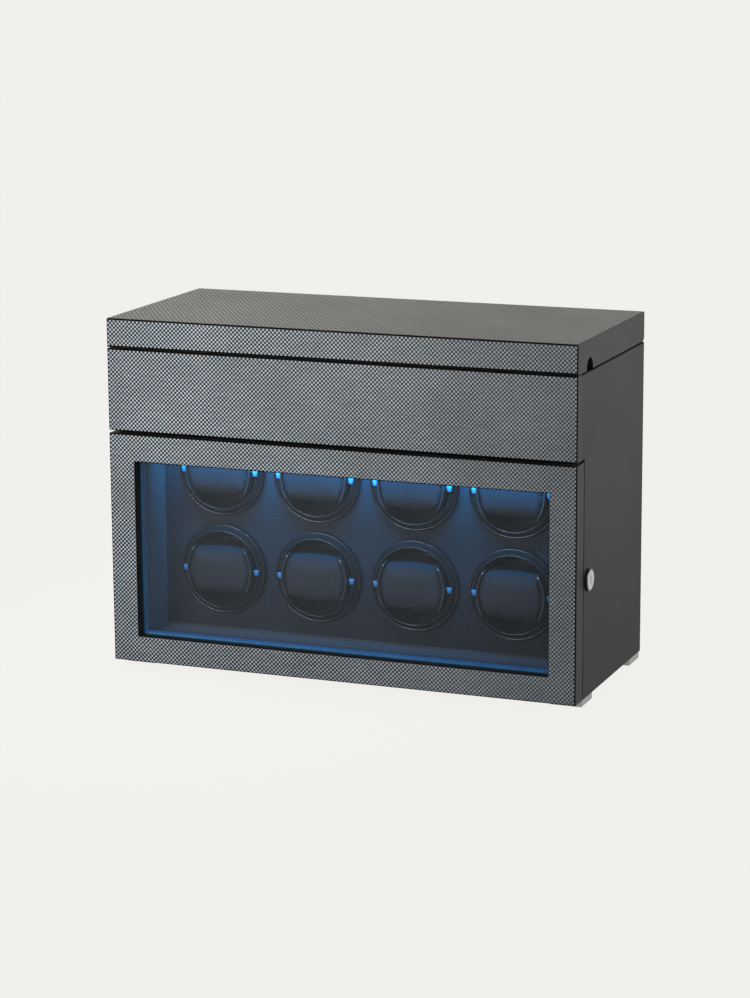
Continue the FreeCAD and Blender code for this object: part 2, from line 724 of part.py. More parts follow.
def door_leaf(low, side):
    """A flat leaf on the door, side -1, or on the carcass, side 1, from the pin inwards."""
    near_face = DOOR_AXIS_Y + side * LEAF_CLEARANCE / 2
    far_face = near_face + side * LEAF
    return block(
        (DOOR_AXIS_X, DOOR_AXIS_X + LEAF_WIDTH),
        (min(near_face, far_face), max(near_face, far_face)),
        (low, low + HINGE_LENGTH),
    )


def lid_leaf(low, side):
    """A flat leaf on the lid, side 1, or on the back panel, side -1, from the pin inwards."""
    near_face = LID_AXIS_Z + side * LEAF_CLEARANCE / 2
    far_face = near_face + side * LEAF
    return block(
        (low, low + HINGE_LENGTH),
        (LID_AXIS_Y - LEAF_WIDTH, LID_AXIS_Y),
        (min(near_face, far_face), max(near_face, far_face)),
    )


def knuckle_spans(fixed):
    """The stretches of a hinge's length that one leaf's knuckles take up."""
    third = HINGE_LENGTH / 3
    if fixed:
        return [(0, third - KNUCKLE_END_GAP), (2 * third + KNUCKLE_END_GAP, HINGE_LENGTH)]
    return [(third, 2 * third)]


def hinge_half(leaf, start, along, fixed):
    """One leaf with its knuckles, cleared round the other leaf's knuckles and bored for the pin."""
    for low, high in knuckle_spans(not fixed):
        begin = start + along * (low - KNUCKLE_END_GAP)
        end = start + along * (high + KNUCKLE_END_GAP)
        leaf = leaf.cut(rod(KNUCKLE_RADIUS + KNUCKLE_END_GAP, begin, end))
    spans = knuckle_spans(fixed)
    knuckles = [rod(KNUCKLE_RADIUS, start + along * low, start + along * high) for low, high in spans]
    bore = rod(PIN_RADIUS + RUNNING_CLEARANCE, start, start + along * HINGE_LENGTH)
    return leaf.fuse(knuckles).cut(bore).removeSplitter()


def cabinet_hinge_leaves():
    halves = []
    for low in door_hinge_lows():
        halves.append(hinge_half(door_leaf(low, 1), door_hinge_point(low), ALONG_Z, True))
    for low in lid_hinge_lows():
        halves.append(hinge_half(lid_leaf(low, -1), lid_hinge_point(low), ALONG_X, True))
    return Part.makeCompound(halves)


def door_hinge_leaves():
    lows = door_hinge_lows()
    return Part.makeCompound([
        hinge_half(door_leaf(low, -1), door_hinge_point(low), ALONG_Z, False) for low in lows
    ])


def lid_hinge_leaves():
    lows = lid_hinge_lows()
    return Part.makeCompound([
        hinge_half(lid_leaf(low, 1), lid_hinge_point(low), ALONG_X, False) for low in lows
    ])


def hinge_pins():
    pins = []
    for low in door_hinge_lows():
        start = door_hinge_point(low)
        pins.append(rod(PIN_RADIUS, start, start + ALONG_Z * HINGE_LENGTH))
    for low in lid_hinge_lows():
        start = lid_hinge_point(low)
        pins.append(rod(PIN_RADIUS, start, start + ALONG_X * HINGE_LENGTH))
    return Part.makeCompound(pins)


def lock_at(x):
    """A point on the lock's axis."""
    return Vector(x, LOCK_Y, LOCK_Z)


def lock_housing():
    """The fixed barrel with a dished round head outside the right side."""
    head_end = RIGHT + LOCK_HEAD_PROUD
    head = rod(LOCK_HEAD_RADIUS, lock_at(RIGHT), lock_at(head_end))
    rim = edges_where(head, lambda p: near(p.x, head_end))
    head = head.makeChamfer(EDGE_ROUND / 2, rim)
    barrel = rod(LOCK_BARREL_RADIUS, lock_at(LOCK_BARREL_END), lock_at(RIGHT))
    dish = rod(LOCK_FACE_RADIUS + RUNNING_CLEARANCE, lock_at(head_end - LOCK_FACE), lock_at(head_end))
    bore = rod(LOCK_STEM_RADIUS + RUNNING_CLEARANCE, lock_at(LOCK_BARREL_END), lock_at(head_end))
    return head.fuse(barrel).cut([dish, bore]).removeSplitter()


def lock_nut():
    """The hexagon nut that clamps the lock's barrel to the side."""
    corner = LOCK_NUT_ACROSS / math.sqrt(3)
    turns = [math.radians(60 * step) for step in range(6)]
    low = INSIDE - LOCK_NUT
    outline = [Vector(low, LOCK_Y + corner * math.cos(t), LOCK_Z + corner * math.sin(t)) for t in turns]
    nut = polygon(outline).extrude(ALONG_X * LOCK_NUT)
    return nut.cut(rod(LOCK_BARREL_RADIUS, lock_at(low), lock_at(INSIDE)))


def lock_square(size, x_span):
    """A square bar on the lock's axis."""
    half = size / 2
    return block(x_span, (LOCK_Y - half, LOCK_Y + half), (LOCK_Z - half, LOCK_Z + half))


def cam_screw():
    """The screw that holds the cam on the end of the plug."""
    head = rod(CAM_SCREW_HEAD_RADIUS, lock_at(CAM_INNER - CAM_SCREW_HEAD), lock_at(CAM_INNER))
    shank = rod(CAM_SCREW_RADIUS, lock_at(CAM_INNER), lock_at(CAM_INNER + CAM_SCREW_LENGTH))
    return head.fuse(shank).removeSplitter()


def lock_plug():
    """The turning plug: a round face with a keyway, a stem and a square end for the cam."""
    head_end = RIGHT + LOCK_HEAD_PROUD
    face = rod(LOCK_FACE_RADIUS, lock_at(head_end - LOCK_FACE), lock_at(head_end))
    stem = rod(LOCK_STEM_RADIUS, lock_at(CAM_OUTER), lock_at(head_end))
    square = lock_square(CAM_SQUARE, (CAM_INNER, CAM_OUTER))
    keyway = block(
        (head_end - KEYWAY_DEPTH, head_end),
        (LOCK_Y - KEYWAY_WIDTH / 2, LOCK_Y + KEYWAY_WIDTH / 2),
        (LOCK_Z - KEYWAY_LENGTH / 2, LOCK_Z + KEYWAY_LENGTH / 2),
    )
    return face.fuse([stem, square]).cut([keyway, cam_screw()]).removeSplitter()


def lock_cam():
    """A flat cam that points at the door when open and turns down to catch the strike."""
    half = CAM_WIDTH / 2
    arm = block(
        (CAM_INNER, CAM_OUTER),
        (LOCK_Y - CAM_REACH, LOCK_Y),
        (LOCK_Z - half, LOCK_Z + half),
    )
    hub = rod(half, lock_at(CAM_INNER), lock_at(CAM_OUTER))
    hole = lock_square(CAM_SQUARE + 2 * CAM_CLEARANCE, (CAM_INNER, CAM_OUTER))
    return arm.fuse(hub).cut(hole).removeSplitter()


def lock_strike():
    """A bent bracket on the door whose raised lip the cam drops in front of."""
    arm_top = LOCK_Z - CAM_REACH - STRIKE_CLEARANCE
    lip_front = LOCK_Y + CAM_WIDTH / 2 + STRIKE_GAP
    lip_rear = lip_front + STRIKE_LIP
    lip_top = LOCK_Z - CAM_REACH + STRIKE_CATCH
    corners = [
        (DOOR_REAR, arm_top - STRIKE_FLANGE),
        (DOOR_REAR + STRIKE, arm_top - STRIKE_FLANGE),
        (DOOR_REAR + STRIKE, arm_top - STRIKE),
        (lip_rear, arm_top - STRIKE),
        (lip_rear, lip_top),
        (lip_front, lip_top),
        (lip_front, arm_top),
        (DOOR_REAR, arm_top),
    ]
    return profile_x(corners, (CHAMBER_SIDE + STRIKE_GAP, CAM_OUTER - STRIKE_GAP))


def window_block(margin, y_span):
    """The window's opening, widened by a margin all round."""
    return block(
        (-WINDOW_SIDE - margin, WINDOW_SIDE + margin),
        y_span,
        (WINDOW_BOTTOM - margin, WINDOW_TOP + margin),
    )


def door_frame():
    """The door: eased front edges, a window rebated from behind and a bevelled hinge edge."""
    door = block((LEFT, RIGHT), (FRONT, DOOR_REAR), (BODY_BOTTOM, DOOR_TOP))
    door = door.cut(window_block(0, (FRONT, DOOR_REAR)))
    door = door.makeFillet(EDGE_ROUND, edges_where(door, lambda p: near(p.y, FRONT)))
    door = door.cut(window_block(REBATE, (GLASS_FRONT, DOOR_REAR)))
    bevel = polygon([
        Vector(LEFT, DOOR_REAR, BODY_BOTTOM),
        Vector(LEFT + HINGE_BEVEL, DOOR_REAR, BODY_BOTTOM),
        Vector(LEFT, DOOR_REAR - HINGE_BEVEL, BODY_BOTTOM),
    ])
    door = door.cut(bevel.extrude(ALONG_Z * DOOR_HEIGHT))
    for low in door_hinge_lows():
        door = door.cut(door_knuckle_room(low))
    return door


def door_glass():
    return window_block(GLASS_OVERLAP, (GLASS_FRONT, GLASS_REAR))


def glazing_bead():
    """The frame that holds the glass in its rebate."""
    bead = window_block(GLASS_OVERLAP, (GLASS_REAR, GLASS_REAR + BEAD_DEPTH))
    return bead.cut(window_block(-BEAD_PROUD, (GLASS_REAR, GLASS_REAR + BEAD_DEPTH)))


def lid_shell():
    """The lid: eased top, hollow below, front and rear chamfers and two finger notches."""
    corners = [
        (FRONT + LID_FRONT_CHAMFER, LID_BOTTOM),
        (BACK - LID_REAR_CHAMFER, LID_BOTTOM),
        (BACK, LID_BOTTOM + LID_REAR_CHAMFER),
        (BACK, LID_TOP),
        (FRONT, LID_TOP),
        (FRONT, LID_BOTTOM + LID_FRONT_CHAMFER),
    ]
    lid = profile_x(corners, (LEFT, RIGHT))
    top_edges = edges_where(lid, lambda p: near(p.z, LID_TOP))
    front_corners = edges_where(lid, lambda p: near(p.y, FRONT) and near(abs(p.x), RIGHT))
    rear_corners = edges_where(lid, lambda p: near(p.y, BACK) and near(abs(p.x), RIGHT))
    lid = lid.makeFillet(EDGE_ROUND, top_edges + front_corners + rear_corners)
    hollow = block((-INSIDE, INSIDE), (BAND_REAR, BACK_INSIDE), (LID_BOTTOM, LID_TOP - LID_TOP_BOARD))
    lid = lid.cut([hollow, finger_notch(LEFT, -INSIDE), finger_notch(INSIDE, RIGHT)])
    for low in lid_hinge_lows():
        lid = lid.cut(lid_knuckle_room(low))
        lid = lid.cut(lid_leaf(low, 1))
    return lid


def finger_notch(low, high):
    """A round-topped notch through one end of the lid's lower edge."""
    y = FRONT + NOTCH_FROM_FRONT
    z = LID_BOTTOM + NOTCH_STRAIGHT
    arch = rod(NOTCH_RADIUS, Vector(low, y, z), Vector(high, y, z))
    straight = block((low, high), (y - NOTCH_RADIUS, y + NOTCH_RADIUS), (LID_BOTTOM, z))
    return arch.fuse(straight)


def lid_lining():
    """The covered board under the lid's top, rounded along its lower edge."""
    high = LID_TOP - LID_TOP_BOARD
    low = high - LINING
    board = block(
        (LINING_CLEARANCE - INSIDE, INSIDE - LINING_CLEARANCE),
        (BAND_REAR + LINING_CLEARANCE, BACK_INSIDE - LINING_CLEARANCE),
        (low, high),
    )
    return board.makeFillet(LINING_ROUND, edges_where(board, lambda p: near(p.z, low)))


def build_nodes():
    """Every piece of the box by name."""
    nodes = {
        "base_panel": base_panel(),
        "side_panel_left": left_side_panel(),
        "side_panel_right": right_side_panel(),
        "back_panel": back_panel(),
        "divider_shelf": divider_shelf(),
        "front_band": front_band(),
        "header_rail": header_rail(),
        "chamber_liner_left": chamber_liner(-CHAMBER_SIDE, -INSIDE),
        "chamber_liner_right": right_chamber_liner(),
        "chamber_floor": chamber_floor(),
        "rotor_board": rotor_board(),
        "motor_board": motor_board(),
        "gearmotors": gearmotors(),
        "lamp_bar": lamp_bar(),
        "lamp_diffuser": lamp_diffuser(),
        "storage_tray": storage_tray(),
        "tray_dividers": tray_dividers(),
        "touch_panel": touch_panel(),
        "control_board": control_board(),
        "power_inlet": power_inlet(),
        "feet": feet(),
        "cabinet_hinge_leaves": cabinet_hinge_leaves(),
        "hinge_pins": hinge_pins(),
        "lock_housing": lock_housing(),
        "lock_nut": lock_nut(),
        "door_frame": door_frame(),
        "door_glass": door_glass(),
        "glazing_bead": glazing_bead(),
        "door_hinge_leaves": door_hinge_leaves(),
        "lock_strike": lock_strike(),
        "lid_shell": lid_shell(),
        "lid_lining": lid_lining(),
        "lid_hinge_leaves": lid_hinge_leaves(),
        "lock_plug": lock_plug(),
        "lock_cam": lock_cam(),
        "cam_screw": cam_screw(),
    }
    for number, centre in enumerate(rotor_centres(), start=1):
        nodes[f"rotor_cup_{number}"] = rotor_cup(centre)
        nodes[f"pillow_frame_{number}"] = pillow_frame(centre)
        nodes[f"pillow_cushion_{number}"] = pillow_cushion(centre)
    return nodes


os.makedirs("parts", exist_ok=True)
for name, shape in build_nodes().items():
    shape.exportStep(os.path.join("parts", name + ".step"))
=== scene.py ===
"""Looks of the watch winder box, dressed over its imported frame. Metres, +X right, +Y back, +Z up."""

import logging
import math
from dataclasses import dataclass
from enum import Enum
from typing import Iterable, Union

import bpy
from mathutils import Matrix, Vector


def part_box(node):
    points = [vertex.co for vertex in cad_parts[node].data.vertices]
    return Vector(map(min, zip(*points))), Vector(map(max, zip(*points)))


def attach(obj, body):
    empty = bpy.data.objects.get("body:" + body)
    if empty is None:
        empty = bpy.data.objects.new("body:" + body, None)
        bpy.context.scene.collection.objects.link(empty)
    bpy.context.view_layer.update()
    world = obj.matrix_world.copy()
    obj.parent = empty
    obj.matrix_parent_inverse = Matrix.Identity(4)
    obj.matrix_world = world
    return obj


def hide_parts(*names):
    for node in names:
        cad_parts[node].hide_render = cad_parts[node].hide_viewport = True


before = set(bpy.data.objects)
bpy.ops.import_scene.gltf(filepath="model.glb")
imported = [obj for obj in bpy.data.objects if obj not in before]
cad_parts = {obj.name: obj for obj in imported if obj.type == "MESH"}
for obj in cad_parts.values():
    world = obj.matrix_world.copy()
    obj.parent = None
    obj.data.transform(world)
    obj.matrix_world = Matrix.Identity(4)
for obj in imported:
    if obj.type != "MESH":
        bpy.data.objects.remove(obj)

LOG = logging.getLogger("winder_box")
MM = 0.001
TURNTABLES = range(1, 9)

# A face counts as flat on an axis when its normal's share of that axis is above this
FLAT_FACE = 0.985
# How near the outermost plane a face has to lie to carry a skin
SKIN = 0.2 * MM
WELD = 0.01 * MM
SOFT_ANGLE = 60.0
CRISP_ANGLE = 40.0

# The stretches of a noise's values that are used, without its rare extremes
NOISE_WIDE = (0.3, 0.7)
NOISE_NARROW = (0.35, 0.65)

Colour = tuple[float, float, float, float]
Pair = tuple[float, float]
Triple = tuple[float, float, float]
Socket = bpy.types.NodeSocket
Piece = bpy.types.Object
Feed = Union[Socket, float, Colour]


def grey(level: float) -> Colour:
    """A neutral colour of one level."""
    return (level, level, level, 1.0)


def scaled(colour: Colour, factor: float) -> Colour:
    """A colour made lighter or darker by a factor."""
    return tuple(factor * level for level in colour[:3]) + (1.0,)


class WovenFaces(Enum):
    """Which sides of a board carry the woven skin."""

    FRONT = "front"
    FRONT_AND_TOP = "front_and_top"


class Graph:
    """A material's node tree, with short calls for the nodes that the finishes share."""

    def __init__(self, name: str) -> None:
        """Start a material with its shader and coordinates.

        Args:
            name: The material's name.
        """
        self.material = bpy.data.materials.new(name)
        self.material.use_nodes = True
        self.tree = self.material.node_tree
        self.shader = self.tree.nodes["Principled BSDF"]
        coordinates = self.add("ShaderNodeTexCoord")
        self.place = coordinates.outputs["Object"]
        self.normal = coordinates.outputs["Normal"]

    def add(self, kind: str, **settings: object) -> bpy.types.Node:
        """Add one node.

        Args:
            kind: The node's type name.
            settings: Properties to set on it.

        Returns:
            The new node.
        """
        node = self.tree.nodes.new(kind)
        for key, value in settings.items():
            setattr(node, key, value)
        return node

    def feed(self, socket: Socket, value: Feed) -> None:
        """Link a socket to an input, or set a plain value on it.

        Args:
            socket: The input.
            value: An output socket, a number or a colour.
        """
        if isinstance(value, bpy.types.NodeSocket):
            self.tree.links.new(value, socket)
        else:
            socket.default_value = value

    def set(self, **values: Feed) -> None:
        """Feed the shader's own inputs, named with underscores for spaces.

        Args:
            values: Sockets or plain values by input name.
        """
        for key, value in values.items():
            self.feed(self.shader.inputs[key.replace("_", " ")], value)

    def math(self, operation: str, *values: Feed) -> Socket:
        """Work out a number from one to three others.

        Args:
            operation: The Math node's operation.
            values: Its inputs in order.

        Returns:
            The result's socket.
        """
        node = self.add("ShaderNodeMath", operation=operation)
        for socket, value in zip(node.inputs, values):
            self.feed(socket, value)
        return node.outputs[0]

    def split(self, vector: Socket) -> tuple[Socket, Socket, Socket]:
        """Take a vector apart.

        Args:
            vector: The vector.

        Returns:
            The sockets of its X, Y and Z.
        """
        node = self.add("ShaderNodeSeparateXYZ")
        self.feed(node.inputs[0], vector)
        return tuple(node.outputs)

    def span(self, value: Feed, low: float, high: float, first: float = 0.0, last: float = 1.0) -> Socket:
        """Ease a number from one stretch of values onto another.

        Args:
            value: The number.
            low: Where the stretch begins.
            high: Where it ends.
            first: The result at low.
            last: The result at high.

        Returns:
            The eased number's socket.
        """
        node = self.add("ShaderNodeMapRange", interpolation_type="SMOOTHSTEP")
        for socket, item in zip(node.inputs, (value, low, high, first, last)):
            self.feed(socket, item)
        return node.outputs[0]

    def mix(self, share: Feed, first: Feed, second: Feed, blend: str = "MIX") -> Socket:
        """Blend two colours.

        Args:
            share: How much of the second colour shows.
            first: The colour at share 0.
            second: The colour at share 1.
            blend: The way of blending.

        Returns:
            The blended colour's socket.
        """
        # The sockets for colours come after those for plain numbers and vectors
        node = self.add("ShaderNodeMix", data_type="RGBA", blend_type=blend)
        self.feed(node.inputs[0], share)
        self.feed(node.inputs[6], first)
        self.feed(node.inputs[7], second)
        return node.outputs[2]

    def noise(self, vector: Socket, scale: float, detail: float = 3.0) -> Socket:
        """Cloudy noise.

        Args:
            vector: Where it is read.
            scale: Clouds in a metre.
            detail: Finer octaves.

        Returns:
            The noise level's socket.
        """
        node = self.add("ShaderNodeTexNoise")
        self.feed(node.inputs["Vector"], vector)
        self.feed(node.inputs["Scale"], scale)
        self.feed(node.inputs["Detail"], detail)
        return node.outputs[0]

    def streaks(self, stretch: Triple, detail: float = 3.0) -> Socket:
        """Noise drawn out along an axis.

        Args:
            stretch: Streaks in a metre along each axis.
            detail: Finer octaves.

        Returns:
            The noise level's socket.
        """
        node = self.add("ShaderNodeMapping")
        node.inputs["Scale"].default_value = stretch
        self.feed(node.inputs["Vector"], self.place)
        return self.noise(node.outputs[0], 1.0, detail)

    def cells(self, scale: float) -> Socket:
        """Distance to the borders of scattered cells, as in leather grain.

        Args:
            scale: Cells in a metre.

        Returns:
            The distance's socket.
        """
        node = self.add("ShaderNodeTexVoronoi", feature="DISTANCE_TO_EDGE")
        self.feed(node.inputs["Vector"], self.place)
        self.feed(node.inputs["Scale"], scale)
        return node.outputs[0]

    def clouded(self, colour: Colour, scale: float = 14.0, lift: float = 1.15) -> Socket:
        """A lacquer colour with a faint cloudiness.

        Args:
            colour: The colour where it is darkest.
            scale: Clouds in a metre.
            lift: How much lighter the clouds are.

        Returns:
            The colour's socket.
        """
        cloud = self.span(self.noise(self.place, scale), *NOISE_WIDE)
        return self.mix(cloud, colour, scaled(colour, lift))

    def relief(self, height: Feed, depth: float, strength: float) -> None:
        """Bump the surface.

        Args:
            height: The height map, 0 to 1.
            depth: How deep the map is, in metres.
            strength: How much of it shows.
        """
        node = self.add("ShaderNodeBump")
        self.feed(node.inputs["Strength"], strength)
        self.feed(node.inputs["Distance"], depth)
        self.feed(node.inputs["Height"], height)
        self.tree.links.new(node.outputs[0], self.shader.inputs["Normal"])


class Finish:
    """What a surface is made of."""

    name: str

    def build(self) -> bpy.types.Material:
        """Make the material.

        Returns:
            The finished material.
        """
        graph = Graph(self.name)
        self.paint(graph)
        return graph.material

    def paint(self, graph: Graph) -> None:
        """Lay the finish on a new material."""
        raise NotImplementedError


@dataclass(frozen=True)
class WovenLacquer(Finish):
    """A plain weave of pale and dark tows under lacquer, with plain black sides, and near-black rough
    edges by the front that are painted shade beside the gaps.

    From left to right, between the two places in fade, its colours go over to painted ones for the
    right-hand side: painted shade darkens the pale tows, a painted sheen lifts the dark tows and the ribs
    grow fainter. Faces that look up take a painted warm reflection of the backdrop.
    """

    name: str
    faces: WovenFaces
    front: float
    top: float
    cell: float = 2.425 * MM
    pale: Colour = (0.43, 0.478, 0.517, 1.0)
    # Painted reflection of the warm backdrop, for faces that look up
    painted_top_reflection: Colour = (0.49, 0.487, 0.452, 1.0)
    dark: Colour = (0.011, 0.012, 0.013, 1.0)
    # Painted shade and sheen: the colours that the tows take towards the right, across the stretch in
    # fade
    painted_shade_pale: Colour = (0.345, 0.384, 0.415, 1.0)
    painted_shade_top_reflection: Colour = (0.34, 0.338, 0.314, 1.0)
    painted_sheen_dark: Colour = (0.054, 0.056, 0.058, 1.0)
    fade: Pair = (-0.3, 0.28)
    plain: Colour = (0.026, 0.026, 0.0255, 1.0)
    # Painted shade: near-black for the edges by the front, beside the gaps
    painted_edge_shade: Colour = grey(0.002)
    edge: float = 1.9 * MM
    edge_shade_depth: float = 1.4 * MM
    weft: Pair = (-0.12, 0.34)
    crown_power: float = 0.6
    crown_depth: float = 0.12 * MM
    crown_strength: float = 0.35
    lying: Triple = (60.0, 2400.0, 2400.0)
    standing: Triple = (2400.0, 60.0, 60.0)
    fibre_levels: Pair = (0.72, 1.25)
    cloud_scale: float = 9.0
    cloud_levels: Pair = (0.9, 1.08)
    rib_across: float = 5.7 * MM
    rib_along: float = 8.8 * MM
    rib_depth: float = 0.45
    rib_painted_falloff: float = -0.14
    roughness: float = 0.48
    edge_shade_roughness: float = 0.8
    specular: float = 0.08

    def paint(self, graph: Graph) -> None:
        """Lay the finish on.

        Args:
            graph: The new material.
        """
        across, back, height = graph.split(graph.place)
        upward = graph.split(graph.normal)[2]
        along = graph.math("SUBTRACT", height, back)
        turn = math.pi / self.cell
        waves = [graph.math("SINE", graph.math("MULTIPLY", place, turn)) for place in (across, along)]
        crossing = graph.math("MULTIPLY", *waves)
        weft = graph.span(crossing, *self.weft)
        fade = graph.span(across, *self.fade)
        slant = graph.math("MULTIPLY", back, 2 * math.pi / self.rib_along)
        lean = graph.math("MULTIPLY_ADD", across, 2 * math.pi / self.rib_across, slant)
        ribs = graph.math("MULTIPLY", graph.math("SINE", lean), upward)
        depth = graph.math("MULTIPLY_ADD", fade, self.rib_painted_falloff, self.rib_depth)
        ribbed = graph.math("MULTIPLY_ADD", ribs, depth, 1.0)
        level = graph.math("MULTIPLY", self.fibre(graph, weft), ribbed)
        # Painted shade and sheen: towards the right the pale tows darken and the dark tows lighten
        pale = graph.mix(fade, self.pale, self.painted_shade_pale)
        painted_top_reflection = graph.mix(fade, self.painted_top_reflection, self.painted_shade_top_reflection)
        dark = graph.mix(fade, self.dark, self.painted_sheen_dark)
        # Faces that look up take the painted warm reflection in place of the pale tow colour
        tow = graph.mix(weft, dark, graph.mix(upward, pale, painted_top_reflection))
        lit = graph.mix(1.0, tow, level, "MULTIPLY")
        woven = self.woven_share(graph)
        # Painted shade: faces within a little of the front that carry no weave go near-black and rough
        painted_gap_shade = graph.math("LESS_THAN", back, self.front + self.edge_shade_depth)
        ground = graph.mix(painted_gap_shade, graph.clouded(self.plain), self.painted_edge_shade)
        edge_shaded = graph.math("MULTIPLY", painted_gap_shade, graph.math("SUBTRACT", 1.0, woven))
        graph.set(
            Base_Color=graph.mix(woven, ground, lit),
            Roughness=graph.span(edge_shaded, 0.0, 1.0, self.roughness, self.edge_shade_roughness),
            Specular_IOR_Level=self.specular,
        )
        crown = graph.math("POWER", graph.math("ABSOLUTE", crossing), self.crown_power)
        graph.relief(graph.math("MULTIPLY", crown, woven), self.crown_depth, self.crown_strength)

    def fibre(self, graph: Graph, weft: Socket) -> Socket:
        """How light the tows' own fibres are, with a slow change over the board.

        Args:
            graph: The material.
            weft: Where the weft lies on top.

        Returns:
            The level's socket.
        """
        lying = graph.streaks(self.lying)
        standing = graph.streaks(self.standing)
        fibre = graph.span(graph.mix(weft, standing, lying), *NOISE_WIDE, *self.fibre_levels)
        cloud = graph.noise(graph.place, self.cloud_scale)
        return graph.math("MULTIPLY", fibre, graph.span(cloud, *NOISE_WIDE, *self.cloud_levels))

    def woven_share(self, graph: Graph) -> Socket:
        """Where the woven skin lies: on the foremost faces, and on top where the board has it there.

        Args:
            graph: The material.

        Returns:
            A socket that is 1 on the skin and 0 off it.
        """
        _, facing_back, facing_up = graph.split(graph.normal)
        _, back, height = graph.split(graph.place)
        share = graph.math(
            "MULTIPLY",
            graph.math("LESS_THAN", facing_back, -FLAT_FACE),
            graph.math("LESS_THAN", back, self.front + SKIN),
        )
        if self.faces is WovenFaces.FRONT_AND_TOP:
            below = graph.math("LESS_THAN", height, self.top - self.edge)
            above = graph.math(
                "MULTIPLY",
                graph.math("GREATER_THAN", facing_up, FLAT_FACE),
                graph.math("GREATER_THAN", height, self.top - SKIN),
            )
            share = graph.math("MAXIMUM", graph.math("MULTIPLY", share, below), above)
        return share


@dataclass(frozen=True)
class Lacquer(Finish):
    """Plain satin lacquer with a fine orange peel, and dull near-black painted shade along the upper rim,
    under the gap to the lid.
    """

    name: str
    colour: Colour
    rim: float
    # Painted shade under the lid's gap: the band's depth and colour
    gap_shade_depth: float = 1.4 * MM
    painted_gap_shade: Colour = grey(0.002)
    roughness: float = 0.5
    roughness_swing: float = 0.04
    gap_shade_dulling: float = 0.35
    specular: float = 0.06
    peel_scale: float = 900.0
    peel_depth: float = 0.05 * MM
    peel_strength: float = 0.12

    def paint(self, graph: Graph) -> None:
        """Lay the finish on.

        Args:
            graph: The new material.
        """
        peel = graph.noise(graph.place, self.peel_scale, detail=1.0)
        height = graph.split(graph.place)[2]
        # Painted shade: a dull near-black band along the top of the boards, under the gap to the lid
        rim = graph.math("GREATER_THAN", height, self.rim - self.gap_shade_depth)
        smooth, rough = self.roughness - self.roughness_swing, self.roughness + self.roughness_swing
        sheen = graph.span(peel, *NOISE_WIDE, smooth, rough)
        graph.set(
            Base_Color=graph.mix(rim, graph.clouded(self.colour), self.painted_gap_shade),
            Roughness=graph.math("MULTIPLY_ADD", rim, self.gap_shade_dulling, sheen),
            Specular_IOR_Level=self.specular,
        )
        graph.relief(peel, self.peel_depth, self.peel_strength)


@dataclass(frozen=True)
class Suede(Finish):
    """Short-napped lining cloth."""

    name: str
    colour: Colour
    lift: float = 1.3
    nap_scale: float = 2600.0
    nap_detail: float = 4.0
    nap_share: float = 0.6
    brushing: Triple = (30.0, 18.0, 55.0)
    brushed_share: float = 0.4
    roughness: Pair = (0.78, 0.92)
    specular: float = 0.2
    sheen: float = 0.25
    sheen_roughness: float = 0.4
    nap_depth: float = 0.12 * MM
    nap_strength: float = 0.15

    def paint(self, graph: Graph) -> None:
        """Lay the finish on.

        Args:
            graph: The new material.
        """
        nap = graph.noise(graph.place, self.nap_scale, self.nap_detail)
        brushed = graph.math("MULTIPLY", graph.streaks(self.brushing), self.brushed_share)
        ruffled = graph.math("MULTIPLY_ADD", nap, self.nap_share, brushed)
        share = graph.span(ruffled, *NOISE_NARROW)
        graph.set(
            Base_Color=graph.mix(share, self.colour, scaled(self.colour, self.lift)),
            Roughness=graph.span(nap, *NOISE_WIDE, *self.roughness),
            Specular_IOR_Level=self.specular,
            Sheen_Weight=self.sheen,
            Sheen_Roughness=self.sheen_roughness,
        )
        graph.relief(nap, self.nap_depth, self.nap_strength)


@dataclass(frozen=True)
class Leather(Finish):
    """Grained leathercloth for the watch pillows."""

    name: str
    colour: Colour
    lift: float = 1.5
    pebble_scale: float = 900.0
    pebble_border: float = 0.35
    pore_scale: float = 2200.0
    pore_share: float = 0.25
    roughness: Pair = (0.66, 0.56)
    specular: float = 0.3
    grain_depth: float = 0.1 * MM
    grain_strength: float = 0.25

    def paint(self, graph: Graph) -> None:
        """Lay the finish on.

        Args:
            graph: The new material.
        """
        pebble = graph.span(graph.cells(self.pebble_scale), 0.0, self.pebble_border)
        pore = graph.noise(graph.place, self.pore_scale)
        graph.set(
            Base_Color=graph.mix(pebble, self.colour, scaled(self.colour, self.lift)),
            Roughness=graph.span(pebble, 0.0, 1.0, *self.roughness),
            Specular_IOR_Level=self.specular,
        )
        height = graph.math("MULTIPLY_ADD", pore, self.pore_share, pebble)
        graph.relief(height, self.grain_depth, self.grain_strength)


@dataclass(frozen=True)
class Moulding(Finish):
    """Moulded plastic, from gloss to matt, that may be plated or carry a little light in itself."""

    name: str
    colour: Colour
    roughness: float
    grain: float = 0.1
    glow: float = 0.0
    glow_colour: Colour = (0.0, 0.35, 1.0, 1.0)
    specular: float = 0.5
    metal: float = 0.0
    lift: float = 1.2
    wear_scale: float = 160.0
    wear_detail: float = 4.0
    wear_dulling: float = 0.08
    grain_scale: float = 1400.0
    grain_depth: float = 0.04 * MM

    def paint(self, graph: Graph) -> None:
        """Lay the finish on.

        Args:
            graph: The new material.
        """
        wear = graph.noise(graph.place, self.wear_scale, self.wear_detail)
        worn = graph.span(wear, *NOISE_NARROW)
        graph.set(
            Base_Color=graph.mix(worn, self.colour, scaled(self.colour, self.lift)),
            Roughness=graph.span(wear, *NOISE_WIDE, self.roughness, self.roughness + self.wear_dulling),
            Specular_IOR_Level=self.specular,
            Metallic=self.metal,
            Emission_Color=self.glow_colour,
            Emission_Strength=self.glow,
        )
        graph.material.cycles.emission_sampling = "NONE"
        if self.grain:
            grain = graph.noise(graph.place, self.grain_scale, detail=1.0)
            graph.relief(grain, self.grain_depth, self.grain)


